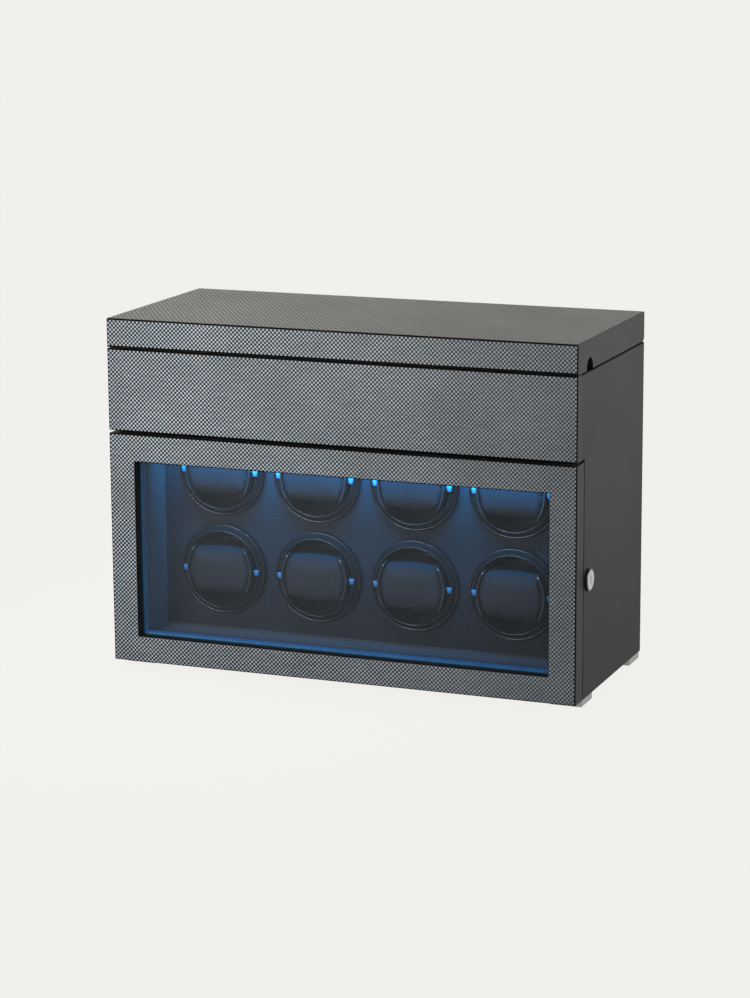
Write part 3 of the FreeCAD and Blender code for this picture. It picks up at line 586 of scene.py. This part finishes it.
@dataclass(frozen=True)
class BrushedMetal(Finish):
    """Metal with fine brush lines along one axis."""

    name: str
    colour: Colour
    roughness: float
    brush: Triple = (40.0, 3000.0, 3000.0)
    brush_detail: float = 2.0
    shading: float = 0.82
    smoothing: float = 0.06
    dulling: float = 0.08
    line_depth: float = 0.03 * MM
    line_strength: float = 0.2

    def paint(self, graph: Graph) -> None:
        """Lay the finish on.

        Args:
            graph: The new material.
        """
        line = graph.streaks(self.brush, self.brush_detail)
        smooth, rough = self.roughness - self.smoothing, self.roughness + self.dulling
        share = graph.span(line, *NOISE_WIDE)
        graph.set(
            Base_Color=graph.mix(share, scaled(self.colour, self.shading), self.colour),
            Roughness=graph.span(line, *NOISE_WIDE, smooth, rough),
            Metallic=1.0,
        )
        graph.relief(line, self.line_depth, self.line_strength)


@dataclass(frozen=True)
class ClearGlass(Finish):
    """Smoky pane with the faintest haze, that lets lamps shine through."""

    name: str
    tint: Colour
    index: float
    clarity: float = 0.976
    smear: Triple = (6.0, 6.0, 14.0)
    smear_shade: float = 0.94

    def paint(self, graph: Graph) -> None:
        """Lay the finish on.

        Args:
            graph: The new material.
        """
        smear = graph.span(graph.streaks(self.smear), *NOISE_NARROW)
        graph.set(
            Base_Color=graph.mix(smear, self.tint, scaled(self.tint, self.smear_shade)),
            Roughness=0.0,
            Transmission_Weight=self.clarity,
            IOR=self.index,
            Specular_Tint=grey(0.0),
        )
        path = graph.add("ShaderNodeLightPath")
        clear = graph.add("ShaderNodeBsdfTransparent")
        clear.inputs["Color"].default_value = tuple(math.sqrt(level) for level in self.tint)
        glass = graph.shader.outputs[0]
        surface = glass
        swaps = {
            "Is Diffuse Ray": clear.outputs[0],
            "Is Glossy Ray": clear.outputs[0],
            "Is Transmission Ray": glass,
            "Is Shadow Ray": clear.outputs[0],
        }
        for kind, shader in swaps.items():
            mix = graph.add("ShaderNodeMixShader")
            graph.feed(mix.inputs[0], path.outputs[kind])
            graph.feed(mix.inputs[1], surface)
            graph.feed(mix.inputs[2], shader)
            surface = mix.outputs[0]
        graph.feed(graph.tree.nodes["Material Output"].inputs[0], surface)


@dataclass(frozen=True)
class LampGlow(Finish):
    """Milky cover of a lit lamp strip, brighter over each light."""

    name: str
    colour: Colour
    strength: float
    spacing: float = 30 * MM
    between: float = 0.6
    milk: Colour = (0.6, 0.7, 0.8, 1.0)
    roughness: float = 0.5

    def paint(self, graph: Graph) -> None:
        """Lay the finish on.

        Args:
            graph: The new material.
        """
        across = graph.split(graph.place)[0]
        wave = graph.math("COSINE", graph.math("MULTIPLY", across, 2 * math.pi / self.spacing))
        graph.set(
            Base_Color=self.milk,
            Roughness=self.roughness,
            Emission_Color=self.colour,
            Emission_Strength=graph.span(wave, -1.0, 1.0, self.between * self.strength, self.strength),
        )
        graph.material.cycles.emission_sampling = "NONE"


def dress(nodes: Iterable[str], finish: Finish) -> None:
    """Give CAD nodes a finish that they share.

    Args:
        nodes: The nodes' names.
        finish: The finish.
    """
    material = finish.build()
    for name in nodes:
        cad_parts[name].material_slots[0].material = material


def woven_on(node: str, faces: WovenFaces) -> WovenLacquer:
    """The woven lacquer for one board, laid on its own outer faces.

    Args:
        node: The board's node.
        faces: Which of its sides carry the skin.

    Returns:
        The finish.
    """
    low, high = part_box(node)
    return WovenLacquer(f"woven_{node}", faces, front=low.y, top=high.z)


def numbered(stem: str) -> list[str]:
    """The names of one node on every turntable."""
    return [f"{stem}_{number}" for number in TURNTABLES]


def middle(node: str) -> Vector:
    """The middle of a CAD node's box."""
    low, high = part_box(node)
    return (low + high) / 2


class Bench:
    """Modelling calls that act on one piece at a time."""

    @staticmethod
    def clear() -> None:
        """Deselect everything in object mode."""
        for item in list(bpy.context.selected_objects):
            item.select_set(False)

    @staticmethod
    def take(piece: Piece) -> None:
        """Select one piece and make it active.

        Args:
            piece: The piece.
        """
        Bench.clear()
        piece.select_set(True)
        bpy.context.view_layer.objects.active = piece

    @staticmethod
    def settle(name: str, scale: Vector) -> Piece:
        """Name the piece just added, and work its place and size into its mesh.

        Args:
            name: The piece's name.
            scale: Its size on each axis, as a multiple of what it was added with.

        Returns:
            The piece, at the origin.
        """
        piece = bpy.context.active_object
        piece.name = name
        piece.data.name = name
        piece.scale = scale
        bpy.ops.object.transform_apply(location=True, rotation=True, scale=True)
        return piece

    @staticmethod
    def block(name: str, low: Vector, high: Vector) -> Piece:
        """Start a piece from a box between two corners.

        Args:
            name: The piece's name.
            low: Its lowest corner.
            high: Its highest corner.

        Returns:
            The new piece, at the origin.
        """
        Bench.clear()
        bpy.ops.mesh.primitive_cube_add(size=1.0, location=(low + high) / 2)
        return Bench.settle(name, high - low)

    @staticmethod
    def pick_faces(piece: Piece, normal: Vector) -> None:
        """In edit mode, select the faces that look one way.

        Args:
            piece: The piece being edited.
            normal: The direction.
        """
        bpy.ops.mesh.select_mode(type="FACE")
        bpy.ops.mesh.select_all(action="DESELECT")
        bpy.ops.object.mode_set(mode="OBJECT")
        for face in piece.data.polygons:
            face.select = face.normal.dot(normal) > FLAT_FACE
        bpy.ops.object.mode_set(mode="EDIT")

    @staticmethod
    def modify(piece: Piece, kind: str, **settings: object) -> None:
        """Add a modifier and apply it.

        Args:
            piece: The piece.
            kind: The modifier's type.
            settings: Its properties.
        """
        Bench.take(piece)
        modifier = piece.modifiers.new(kind.lower(), kind)
        for key, value in settings.items():
            setattr(modifier, key, value)
        bpy.ops.object.modifier_apply(modifier=modifier.name)

    @staticmethod
    def smooth(piece: Piece, degrees: float) -> None:
        """Shade a piece smooth up to an angle.

        Args:
            piece: The piece.
            degrees: The angle past which an edge stays sharp.
        """
        Bench.take(piece)
        bpy.ops.object.shade_smooth_by_angle(angle=math.radians(degrees))

    @staticmethod
    def repeat(first: Piece, stem: str, places: list[Vector]) -> list[Piece]:
        """Copy the first turntable's piece for the others, each copy with its own mesh.

        Args:
            first: The piece that stands at the first place.
            stem: The pieces' name, without their number.
            places: A place for each turntable.

        Returns:
            The pieces in order, the first among them.
        """
        pieces = [first]
        for number, place in zip(TURNTABLES[1:], places[1:]):
            double = first.copy()
            double.data = first.data.copy()
            double.name = f"{stem}_{number}"
            double.data.name = double.name
            double.data.transform(Matrix.Translation(place - places[0]))
            bpy.context.scene.collection.objects.link(double)
            pieces.append(double)
        return pieces


@dataclass
class Pillows:
    """The eight stuffed watch pillows, swelled from the solids that they stand for."""

    voxel: float = 2.8 * MM
    shrink: float = 1.0 * MM
    swell: float = 5.0 * MM
    clearance: float = 0.3 * MM
    snug: float = 2.4 * MM
    cheek_radius: float = 48 * MM
    cheek_reach: float = 0.9
    pressure: float = 4.0
    frames: int = 20
    fill: float = 0.7
    leather: Leather = Leather("pillow_leather", (0.02, 0.021, 0.023, 1.0))

    def build(self) -> None:
        """Make the first pillow, copy it to the other turntables and seat them all."""
        first = self.stuffed("pillow_cover_1")
        first.data.materials.clear()
        first.data.materials.append(self.leather.build())
        places = [middle(name) for name in numbered("pillow_cushion")]
        pieces = Bench.repeat(first, "pillow_cover", places)
        for number, piece in zip(TURNTABLES, pieces):
            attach(piece, f"pillow_{number}")
            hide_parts(f"pillow_cushion_{number}")
            LOG.info("pillow cover %d: %d faces", number, len(piece.data.polygons))

    def stuffed(self, name: str) -> Piece:
        """Swell a copy of the first cushion's solid inside its frame.

        Args:
            name: The new piece's name.

        Returns:
            The stuffed cover.
        """
        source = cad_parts["pillow_cushion_1"]
        piece = bpy.data.objects.new(name, source.data.copy())
        bpy.context.scene.collection.objects.link(piece)
        Bench.take(piece)
        bpy.ops.object.mode_set(mode="EDIT")
        bpy.ops.mesh.select_all(action="SELECT")
        bpy.ops.mesh.remove_doubles(threshold=WELD)
        bpy.ops.mesh.normals_make_consistent(inside=False)
        bpy.ops.object.mode_set(mode="OBJECT")
        Bench.modify(piece, "REMESH", mode="VOXEL", voxel_size=self.voxel, adaptivity=0.0)
        rest = [vertex.co.copy() for vertex in piece.data.vertices]
        normals = [vertex.normal.copy() for vertex in piece.data.vertices]
        for vertex, normal in zip(piece.data.vertices, normals):
            vertex.co -= normal * self.shrink
        self.inflate(piece)
        self.hold(piece, rest)
        Bench.modify(piece, "SUBSURF", levels=1, render_levels=1)
        Bench.smooth(piece, SOFT_ANGLE)
        return piece

    def inflate(self, piece: Piece) -> None:
        """Run the cloth under pressure and keep its last shape.

        Args:
            piece: The cover.
        """
        scene = bpy.context.scene
        cloth = piece.modifiers.new("cloth", "CLOTH")
        cloth.settings.use_pressure = True
        cloth.settings.uniform_pressure_force = self.pressure
        cloth.settings.effector_weights.gravity = 0.0
        cloth.point_cache.frame_start = 1
        cloth.point_cache.frame_end = self.frames
        for number in range(1, self.frames + 1):
            scene.frame_set(number)
        Bench.take(piece)
        bpy.ops.object.modifier_apply(modifier=cloth.name)
        scene.frame_set(1)

    def hold(self, piece: Piece, rest: list[Vector]) -> None:
        """Cap the swelling, draw the sides up to the cheeks and keep clear of the back plate.

        Args:
            piece: The swelled cover.
            rest: Where its points lay in the solid.
        """
        low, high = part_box("pillow_cushion_1")
        frame_low, frame_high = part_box("pillow_frame_1")
        centre = (frame_low + frame_high) / 2
        inner = (high.x - low.x) / 2 + self.clearance / 2
        for vertex, home in zip(piece.data.vertices, rest):
            step = vertex.co - home
            if step.length > self.swell:
                vertex.co = home + step * (self.swell / step.length)
            bow = inner - self.bow_in(home.z - centre.z)
            side = vertex.co.x - centre.x
            if abs(side) > bow - self.snug:
                vertex.co.x = centre.x + math.copysign(bow, side)
            vertex.co.y = min(vertex.co.y, high.y + self.clearance / 2)

    def bow_in(self, height: float) -> float:
        """How far the cheek's inner face has curved in at a height above its middle.

        Args:
            height: Height above the middle.

        Returns:
            The distance from the widest place.
        """
        reach = min(abs(height), self.cheek_reach * self.cheek_radius)
        return self.cheek_radius - math.sqrt(self.cheek_radius ** 2 - reach ** 2)


@dataclass
class Turntables:
    """The eight turning cups, the beads round their rings and the grip pads on their clips, whose blue
    colour and faint glow are painted light from the lamp strip.
    """

    pad_inner: float = 41.0 * MM
    pad_outer: float = 48.4 * MM
    pad_half: float = 3.5 * MM
    pad_drop: float = 0.6 * MM
    pad_proud: float = 1.2 * MM
    pad_depth: float = 3.2 * MM
    pad_round: float = 1.4 * MM
    pad_taper: float = 0.6
    lip_radius: float = 45.6 * MM
    lip_front: float = 1.5 * MM
    lip_width: float = 1.3 * MM
    lip_round: float = 0.6 * MM
    rim_radius: float = 52.05 * MM
    rim_front: float = 5.4 * MM
    rim_width: float = 1.8 * MM
    rim_round: float = 0.8 * MM
    bead_depth: float = 1.6 * MM
    bead_proud: float = 0.8 * MM
    bead_steps: int = 72
    cup: Moulding = Moulding("gloss_black_plastic", grey(0.01), roughness=0.25, grain=0.0, specular=0.07)
    cheek: Moulding = Moulding("cheek_plastic", grey(0.018), roughness=0.2, grain=0.0)
    # Painted light: the pads' blue colour and faint glow stand for the blue lamp strip lighting pale
    # plastic
    painted_pad_glow: Moulding = Moulding("clip_pad_painted_glow", (0.04, 0.2, 0.32, 1.0), roughness=0.3, grain=0.0, glow=0.1)
    lip: Moulding = Moulding("bead_gloss", grey(0.015), roughness=0.1, grain=0.0, specular=0.6)
    rim: Moulding = Moulding("rim_chrome", grey(0.06), roughness=0.18, grain=0.0, metal=1.0)

    def build(self) -> None:
        """Dress the cups and pillow frames, and set the pads and the beads."""
        dress(numbered("rotor_cup"), self.cup)
        dress(numbered("pillow_frame"), self.cheek)
        self.set_on_all(self.pads("clip_pads_1"), "clip_pads", self.painted_pad_glow)
        lip = self.bead("lip_bead_1", self.lip_radius, self.lip_front, self.lip_width, self.lip_round)
        self.set_on_all(lip, "lip_bead", self.lip)
        rim = self.bead("rim_bead_1", self.rim_radius, self.rim_front, self.rim_width, self.rim_round)
        self.set_on_all(rim, "rim_bead", self.rim)

    def set_on_all(self, first: Piece, stem: str, finish: Finish) -> None:
        """Finish a piece of the first turntable, copy it to the others, and let each ride on its own.

        Args:
            first: The first turntable's piece.
            stem: The pieces' name, without their number.
            finish: Their finish.
        """
        first.data.materials.append(finish.build())
        pieces = Bench.repeat(first, stem, [self.centre(number) for number in TURNTABLES])
        for number, piece in zip(TURNTABLES, pieces):
            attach(piece, f"rotor_{number}")
            LOG.info("%s %d", stem, number)

    def bead(self, name: str, radius: float, behind: float, width: float, rounding: float) -> Piece:
        """A rounded bead round the first turntable's ring, spun from its section.

        Args:
            name: The piece's name.
            radius: The bead's middle radius.
            behind: How far the bead's seat lies behind the front of the clips.
            width: The bead's width.
            rounding: The radius of the section's corners.

        Returns:
            The bead.
        """
        centre = self.centre(1)
        seat = centre.y + behind
        low = Vector((centre.x + radius - width / 2, seat - self.bead_proud, centre.z))
        high = Vector((centre.x + radius + width / 2, seat + self.bead_depth, centre.z))
        Bench.clear()
        bpy.ops.mesh.primitive_plane_add(size=1.0, location=(low + high) / 2)
        piece = Bench.settle(name, Vector((high.x - low.x, high.y - low.y, 1.0)))
        bpy.ops.object.mode_set(mode="EDIT")
        bpy.ops.mesh.select_all(action="SELECT")
        bpy.ops.mesh.bevel(offset=rounding, segments=3, affect="VERTICES")
        bpy.ops.mesh.delete(type="ONLY_FACE")
        bpy.ops.mesh.select_all(action="SELECT")
        bpy.ops.mesh.spin(
            steps=self.bead_steps, dupli=False, angle=2 * math.pi, center=centre, axis=(0.0, 1.0, 0.0)
        )
        bpy.ops.mesh.select_all(action="SELECT")
        bpy.ops.mesh.remove_doubles(threshold=WELD)
        bpy.ops.mesh.normals_make_consistent(inside=False)
        bpy.ops.object.mode_set(mode="OBJECT")
        Bench.smooth(piece, CRISP_ANGLE)
        return piece

    @staticmethod
    def centre(number: int) -> Vector:
        """A turntable's axis, at the front of its clips."""
        low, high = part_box(f"rotor_cup_{number}")
        return Vector(((low.x + high.x) / 2, low.y, (low.z + high.z) / 2))

    def pads(self, name: str) -> Piece:
        """Two rounded pads over the clips of the first turntable.

        Args:
            name: The piece's name.

        Returns:
            The pads as one piece.
        """
        centre = self.centre(1)
        low = centre + Vector((self.pad_inner, -self.pad_proud, -self.pad_half - self.pad_drop))
        high = centre + Vector((self.pad_outer, self.pad_depth, self.pad_half - self.pad_drop))
        piece = Bench.block(name, low, high)
        bpy.ops.object.mode_set(mode="EDIT")
        Bench.pick_faces(piece, Vector((0, 0, -1)))
        bpy.ops.transform.resize(value=(self.pad_taper, 1.0, 1.0), center_override=(low + high) / 2)
        bpy.ops.object.mode_set(mode="OBJECT")
        Bench.modify(piece, "BEVEL", width=self.pad_round, segments=4, limit_method="ANGLE")
        pivot = bpy.data.objects.new("pad_pivot", None)
        pivot.location = centre
        bpy.context.scene.collection.objects.link(pivot)
        bpy.context.view_layer.update()
        Bench.modify(piece, "MIRROR", use_axis=(True, False, False), mirror_object=pivot)
        bpy.data.objects.remove(pivot)
        Bench.smooth(piece, CRISP_ANGLE)
        return piece


@dataclass
class Cabinet:
    """The boards that stand still, their linings, and what is fixed to them."""

    boards: tuple[str, ...] = (
        "base_panel", "side_panel_left", "side_panel_right", "back_panel",
        "divider_shelf", "header_rail", "motor_board",
    )
    steel: tuple[str, ...] = (
        "cabinet_hinge_leaves", "hinge_pins", "lock_nut", "lock_cam", "cam_screw",
        "door_hinge_leaves", "lid_hinge_leaves", "lock_strike",
    )
    lacquer: Colour = (0.027, 0.027, 0.0262, 1.0)
    lining: Colour = (0.024, 0.025, 0.027, 1.0)
    side_lining: Colour = (0.05, 0.045, 0.042, 1.0)
    tray_lining: Colour = (0.03, 0.03, 0.033, 1.0)
    circuit: Colour = (0.03, 0.14, 0.06, 1.0)
    lamp: Colour = (0.02, 0.42, 1.0, 1.0)
    rearward: Triple = (3000.0, 40.0, 3000.0)
    upright: Triple = (3000.0, 3000.0, 40.0)

    def build(self) -> None:
        """Dress every node of the cabinet, and the steel of all hinges and of the lock."""
        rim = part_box("side_panel_right")[1].z
        dress(self.boards, Lacquer("black_lacquer", self.lacquer, rim))
        dress(["front_band"], woven_on("front_band", WovenFaces.FRONT))
        dress(["chamber_floor", "rotor_board"], Suede("chamber_suede", self.lining))
        dress(["chamber_liner_left", "chamber_liner_right"], Suede("liner_suede", self.side_lining))
        dress(["storage_tray", "tray_dividers"], Suede("tray_suede", self.tray_lining))
        dress(["gearmotors"], BrushedMetal("motor_case", grey(0.55), roughness=0.4, brush=self.rearward))
        dress(["lamp_bar"], BrushedMetal("lamp_metal", grey(0.7), roughness=0.35))
        dress(["lamp_diffuser"], LampGlow("lamp_cover", self.lamp, strength=6.0))
        dress(["touch_panel"], Moulding("screen_glass", grey(0.006), roughness=0.05))
        dress(["control_board"], Moulding("circuit", self.circuit, roughness=0.4))
        dress(["power_inlet"], Moulding("inlet_plastic", grey(0.02), roughness=0.4))
        dress(["feet"], BrushedMetal("foot_metal", grey(0.3), roughness=0.32))
        dress(["lock_housing"], Moulding("lock_black", grey(0.012), roughness=0.25))
        dress(["lock_plug"], BrushedMetal("lock_silver", grey(0.52), roughness=0.26, brush=self.upright))
        dress(self.steel, BrushedMetal("hinge_steel", grey(0.6), roughness=0.32))
        LOG.info("cabinet dressed")


@dataclass
class TouchKeys:
    """Lit marks on the touch panel: a dished ring for each turntable, and a slider."""

    across: float = 24 * MM
    apart: float = 19 * MM
    rows: int = 4
    radius: float = 6.5 * MM
    facets: int = 48
    ring: float = 1.1 * MM
    height: float = 0.8 * MM
    dish: float = 0.6 * MM
    sunk: float = 0.4 * MM
    slider: Pair = (46 * MM, 5 * MM)
    rounding: float = 0.15 * MM
    light: Moulding = Moulding(
        "key_light",
        (0.35, 0.42, 0.48, 1.0),
        roughness=0.35,
        grain=0.0,
        glow=0.25,
        glow_colour=(0.4, 0.7, 1.0, 1.0),
    )

    def build(self) -> None:
        """Set the ring marks in two columns, and the slider in front of them."""
        low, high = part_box("touch_panel")
        top = Vector(((low.x + high.x) / 2, (low.y + high.y) / 2, high.z - self.sunk))
        glow = self.light.build()
        key = self.key("touch_key_1", top + Vector((-self.across / 2, -self.apart, 0)))
        cells = [divmod(number - 1, self.rows) for number in TURNTABLES]
        places = [Vector((column * self.across, row * self.apart, 0)) for column, row in cells]
        keys = Bench.repeat(key, "touch_key", places)
        keys.append(self.bar("touch_slider", top - Vector((0, 2 * self.apart, 0))))
        for piece in keys:
            piece.data.materials.append(glow)
            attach(piece, "cabinet")
            LOG.info("%s", piece.name)

    def key(self, name: str, base: Vector) -> Piece:
        """One round mark with a raised rim.

        Args:
            name: The piece's name.
            base: The middle of its underside.

        Returns:
            The mark.
        """
        Bench.clear()
        bpy.ops.mesh.primitive_cylinder_add(
            vertices=self.facets,
            radius=self.radius,
            depth=self.height,
            location=base + Vector((0, 0, self.height / 2)),
        )
        return self.dished(Bench.settle(name, Vector((1, 1, 1))))

    def bar(self, name: str, base: Vector) -> Piece:
        """The slider: a low bar with a shallow channel.

        Args:
            name: The piece's name.
            base: The middle of its underside.

        Returns:
            The slider.
        """
        half = Vector((self.slider[0] / 2, self.slider[1] / 2, 0))
        return self.dished(Bench.block(name, base - half, base + half + Vector((0, 0, self.height))))

    def dished(self, piece: Piece) -> Piece:
        """Sink a piece's top inside a rim, and round its edges.

        Args:
            piece: The piece.

        Returns:
            The same piece.
        """
        bpy.ops.object.mode_set(mode="EDIT")
        Bench.pick_faces(piece, Vector((0, 0, 1)))
        bpy.ops.mesh.inset(thickness=self.ring)
        bpy.ops.mesh.extrude_region_move(TRANSFORM_OT_translate={"value": (0, 0, -self.dish)})
        bpy.ops.object.mode_set(mode="OBJECT")
        Bench.modify(piece, "BEVEL", width=self.rounding, segments=2, limit_method="ANGLE")
        Bench.smooth(piece, CRISP_ANGLE)
        return piece


@dataclass
class Door:
    """The glazed door."""

    glass: ClearGlass = ClearGlass("clear_glass", (0.68, 0.75, 0.82, 1.0), index=1.12)
    # Painted light: the bead's blue colour stands for the blue lamp strip lighting a pale bead
    bead: Moulding = Moulding("glazing_bead_painted_blue_light", (0.03, 0.22, 0.42, 1.0), roughness=0.35)

    def build(self) -> None:
        """Dress the door's frame, pane and bead."""
        dress(["door_frame"], woven_on("door_frame", WovenFaces.FRONT))
        dress(["door_glass"], self.glass)
        dress(["glazing_bead"], self.bead)
        LOG.info("door dressed")


@dataclass
class Lid:
    """The hinged lid."""

    lining: Suede = Suede("lid_suede", (0.03, 0.03, 0.033, 1.0))

    def build(self) -> None:
        """Dress the lid's shell and lining."""
        dress(["lid_shell"], woven_on("lid_shell", WovenFaces.FRONT_AND_TOP))
        dress(["lid_lining"], self.lining)
        LOG.info("lid dressed")


def turned(place: Vector, direction: Vector) -> Matrix:
    """The matrix of a lamp that hangs at a place and shines in a direction."""
    return Matrix.Translation(place) @ direction.to_track_quat("-Z", "Y").to_matrix().to_4x4()


@dataclass(frozen=True)
class SoftBox:
    """A square studio lamp that looks at a point."""

    name: str
    place: Triple
    aim: Triple
    size: float
    power: float
    spread: float

    def hang(self) -> None:
        """Hang the lamp, out of the camera's sight."""
        light = bpy.data.lights.new(self.name, "AREA")
        light.shape = "SQUARE"
        light.size = self.size
        light.energy = self.power
        light.spread = self.spread
        lamp = bpy.data.objects.new(self.name, light)
        lamp.matrix_world = turned(Vector(self.place), Vector(self.aim) - Vector(self.place))
        lamp.visible_camera = False
        bpy.context.scene.collection.objects.link(lamp)


@dataclass
class Studio:
    """Floor, backdrop, lamps and camera."""

    backdrop: Colour = (0.8796, 0.8714, 0.8388, 1.0)
    ambient: float = 0.18
    floor_half: float = 6.0
    floor_colour: Colour = (0.55, 0.545, 0.525, 1.0)
    floor_roughness: float = 0.9
    near: float = 0.35
    far: float = 0.8
    near_glow: float = 0.9
    near_lift: float = 1.08
    soft_boxes: tuple[SoftBox, ...] = (
        SoftBox("key", (-0.5, -1.6, 0.62), (-0.25, -0.124, 0.45), size=0.7, power=3.5, spread=1.06),
        SoftBox("fill", (1.1, 0.0, 0.55), (0.28, 0.0, 0.45), size=0.5, power=1.9, spread=1.2),
        SoftBox("top", (-0.9, 0.15, 1.3), (-0.3, 0.0, 0.41), size=0.7, power=1.3, spread=1.25),
    )
    strip_width: float = 12 * MM
    strip_power: float = 2.0
    strip_colour: Triple = (0.02, 0.4, 1.0)
    strip_spread: float = 2.1
    strip_out: float = 4 * MM
    strip_aim: Triple = (0.0, 1.0, -1.0)
    lens: float = 105.82
    sensor: float = 36.0
    eye: Triple = (1.2177, -3.0664, 0.9196)
    eye_right: Triple = (0.92958, 0.36859, -0.00634)
    eye_up: Triple = (-0.07333, 0.20176, 0.97669)
    eye_back: Triple = (0.36128, -0.90744, 0.21458)

    def build(self) -> None:
        """Set the stage."""
        scene = bpy.context.scene
        scene.view_settings.view_transform = "Standard"
        self.world()
        self.floor()
        for soft_box in self.soft_boxes:
            soft_box.hang()
        self.chamber_lamp()
        self.camera()
        LOG.info("studio set")

    @staticmethod
    def seen_directly(tree: bpy.types.NodeTree) -> Socket:
        """A factor that is 1 for rays from the camera, off gloss and through glass.

        Args:
            tree: The node tree to work in.

        Returns:
            The factor's socket.
        """
        path = tree.nodes.new("ShaderNodeLightPath")
        value = path.outputs["Is Camera Ray"]
        for other in ("Is Glossy Ray", "Is Transmission Ray"):
            either = tree.nodes.new("ShaderNodeMath")
            either.operation = "MAXIMUM"
            tree.links.new(value, either.inputs[0])
            tree.links.new(path.outputs[other], either.inputs[1])
            value = either.outputs[0]
        return value

    def world(self) -> None:
        """Soft light from all round, with the pale backdrop where it is seen."""
        world = bpy.data.worlds.new("studio")
        bpy.context.scene.world = world
        world.use_nodes = True
        tree = world.node_tree
        tree.nodes.clear()
        soft = tree.nodes.new("ShaderNodeBackground")
        soft.inputs["Color"].default_value = grey(1.0)
        soft.inputs["Strength"].default_value = self.ambient
        pale = tree.nodes.new("ShaderNodeBackground")
        pale.inputs["Color"].default_value = self.backdrop
        mix = tree.nodes.new("ShaderNodeMixShader")
        tree.links.new(self.seen_directly(tree), mix.inputs[0])
        tree.links.new(soft.outputs[0], mix.inputs[1])
        tree.links.new(pale.outputs[0], mix.inputs[2])
        out = tree.nodes.new("ShaderNodeOutputWorld")
        tree.links.new(mix.outputs[0], out.inputs[0])

    def floor(self) -> None:
        """A pale floor that takes the box's shadow and runs out into the backdrop."""
        Bench.clear()
        bpy.ops.mesh.primitive_plane_add(size=2 * self.floor_half, location=(0, 0, 0))
        floor = bpy.context.active_object
        floor.name = "studio_floor"
        graph = Graph("studio_floor")
        tree = graph.tree
        graph.set(Base_Color=self.floor_colour, Roughness=self.floor_roughness, Specular_IOR_Level=0.0)
        length = graph.add("ShaderNodeVectorMath", operation="LENGTH")
        graph.feed(length.inputs[0], graph.place)
        away = length.outputs["Value"]
        fade = graph.span(away, self.near, self.far, self.near_glow, 1.0)
        share = graph.math("MULTIPLY", fade, self.seen_directly(tree))
        glow = graph.add("ShaderNodeEmission")
        glow.inputs["Color"].default_value = self.backdrop
        graph.feed(glow.inputs["Strength"], graph.span(away, self.near, self.far, self.near_lift, 1.0))
        mix = graph.add("ShaderNodeMixShader")
        graph.feed(mix.inputs[0], share)
        tree.links.new(graph.shader.outputs[0], mix.inputs[1])
        tree.links.new(glow.outputs[0], mix.inputs[2])
        tree.links.new(mix.outputs[0], tree.nodes["Material Output"].inputs[0])
        graph.material.cycles.emission_sampling = "NONE"
        floor.data.materials.append(graph.material)

    def chamber_lamp(self) -> None:
        """The blue light that the lamp strip throws into the chamber, not mirrored in gloss."""
        low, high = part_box("lamp_diffuser")
        light = bpy.data.lights.new("chamber_lamp", "AREA")
        light.shape = "RECTANGLE"
        light.size = high.x - low.x
        light.size_y = self.strip_width
        light.energy = self.strip_power
        light.color = self.strip_colour
        light.spread = self.strip_spread
        lamp = bpy.data.objects.new("chamber_lamp", light)
        outward = Vector(self.strip_aim).normalized()
        lamp.matrix_world = turned((low + high) / 2 + outward * self.strip_out, outward)
        lamp.visible_glossy = False
        bpy.context.scene.collection.objects.link(lamp)

    def camera(self) -> None:
        """The camera at the photograph's viewing angle."""
        lens = bpy.data.cameras.new("camera")
        lens.sensor_width = self.sensor
        lens.lens = self.lens
        eye = bpy.data.objects.new("camera", lens)
        turn = Matrix((self.eye_right, self.eye_up, self.eye_back)).transposed().to_4x4()
        eye.matrix_world = Matrix.Translation(self.eye) @ turn
        bpy.context.scene.collection.objects.link(eye)
        bpy.context.scene.camera = eye


def main() -> None:
    """Build and dress every sub-assembly in order."""
    logging.basicConfig(level=logging.INFO, format="%(message)s")
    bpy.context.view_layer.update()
    for part in (Studio(), Cabinet(), TouchKeys(), Door(), Lid(), Turntables(), Pillows()):
        part.build()


if __name__ == "__main__":
    main()
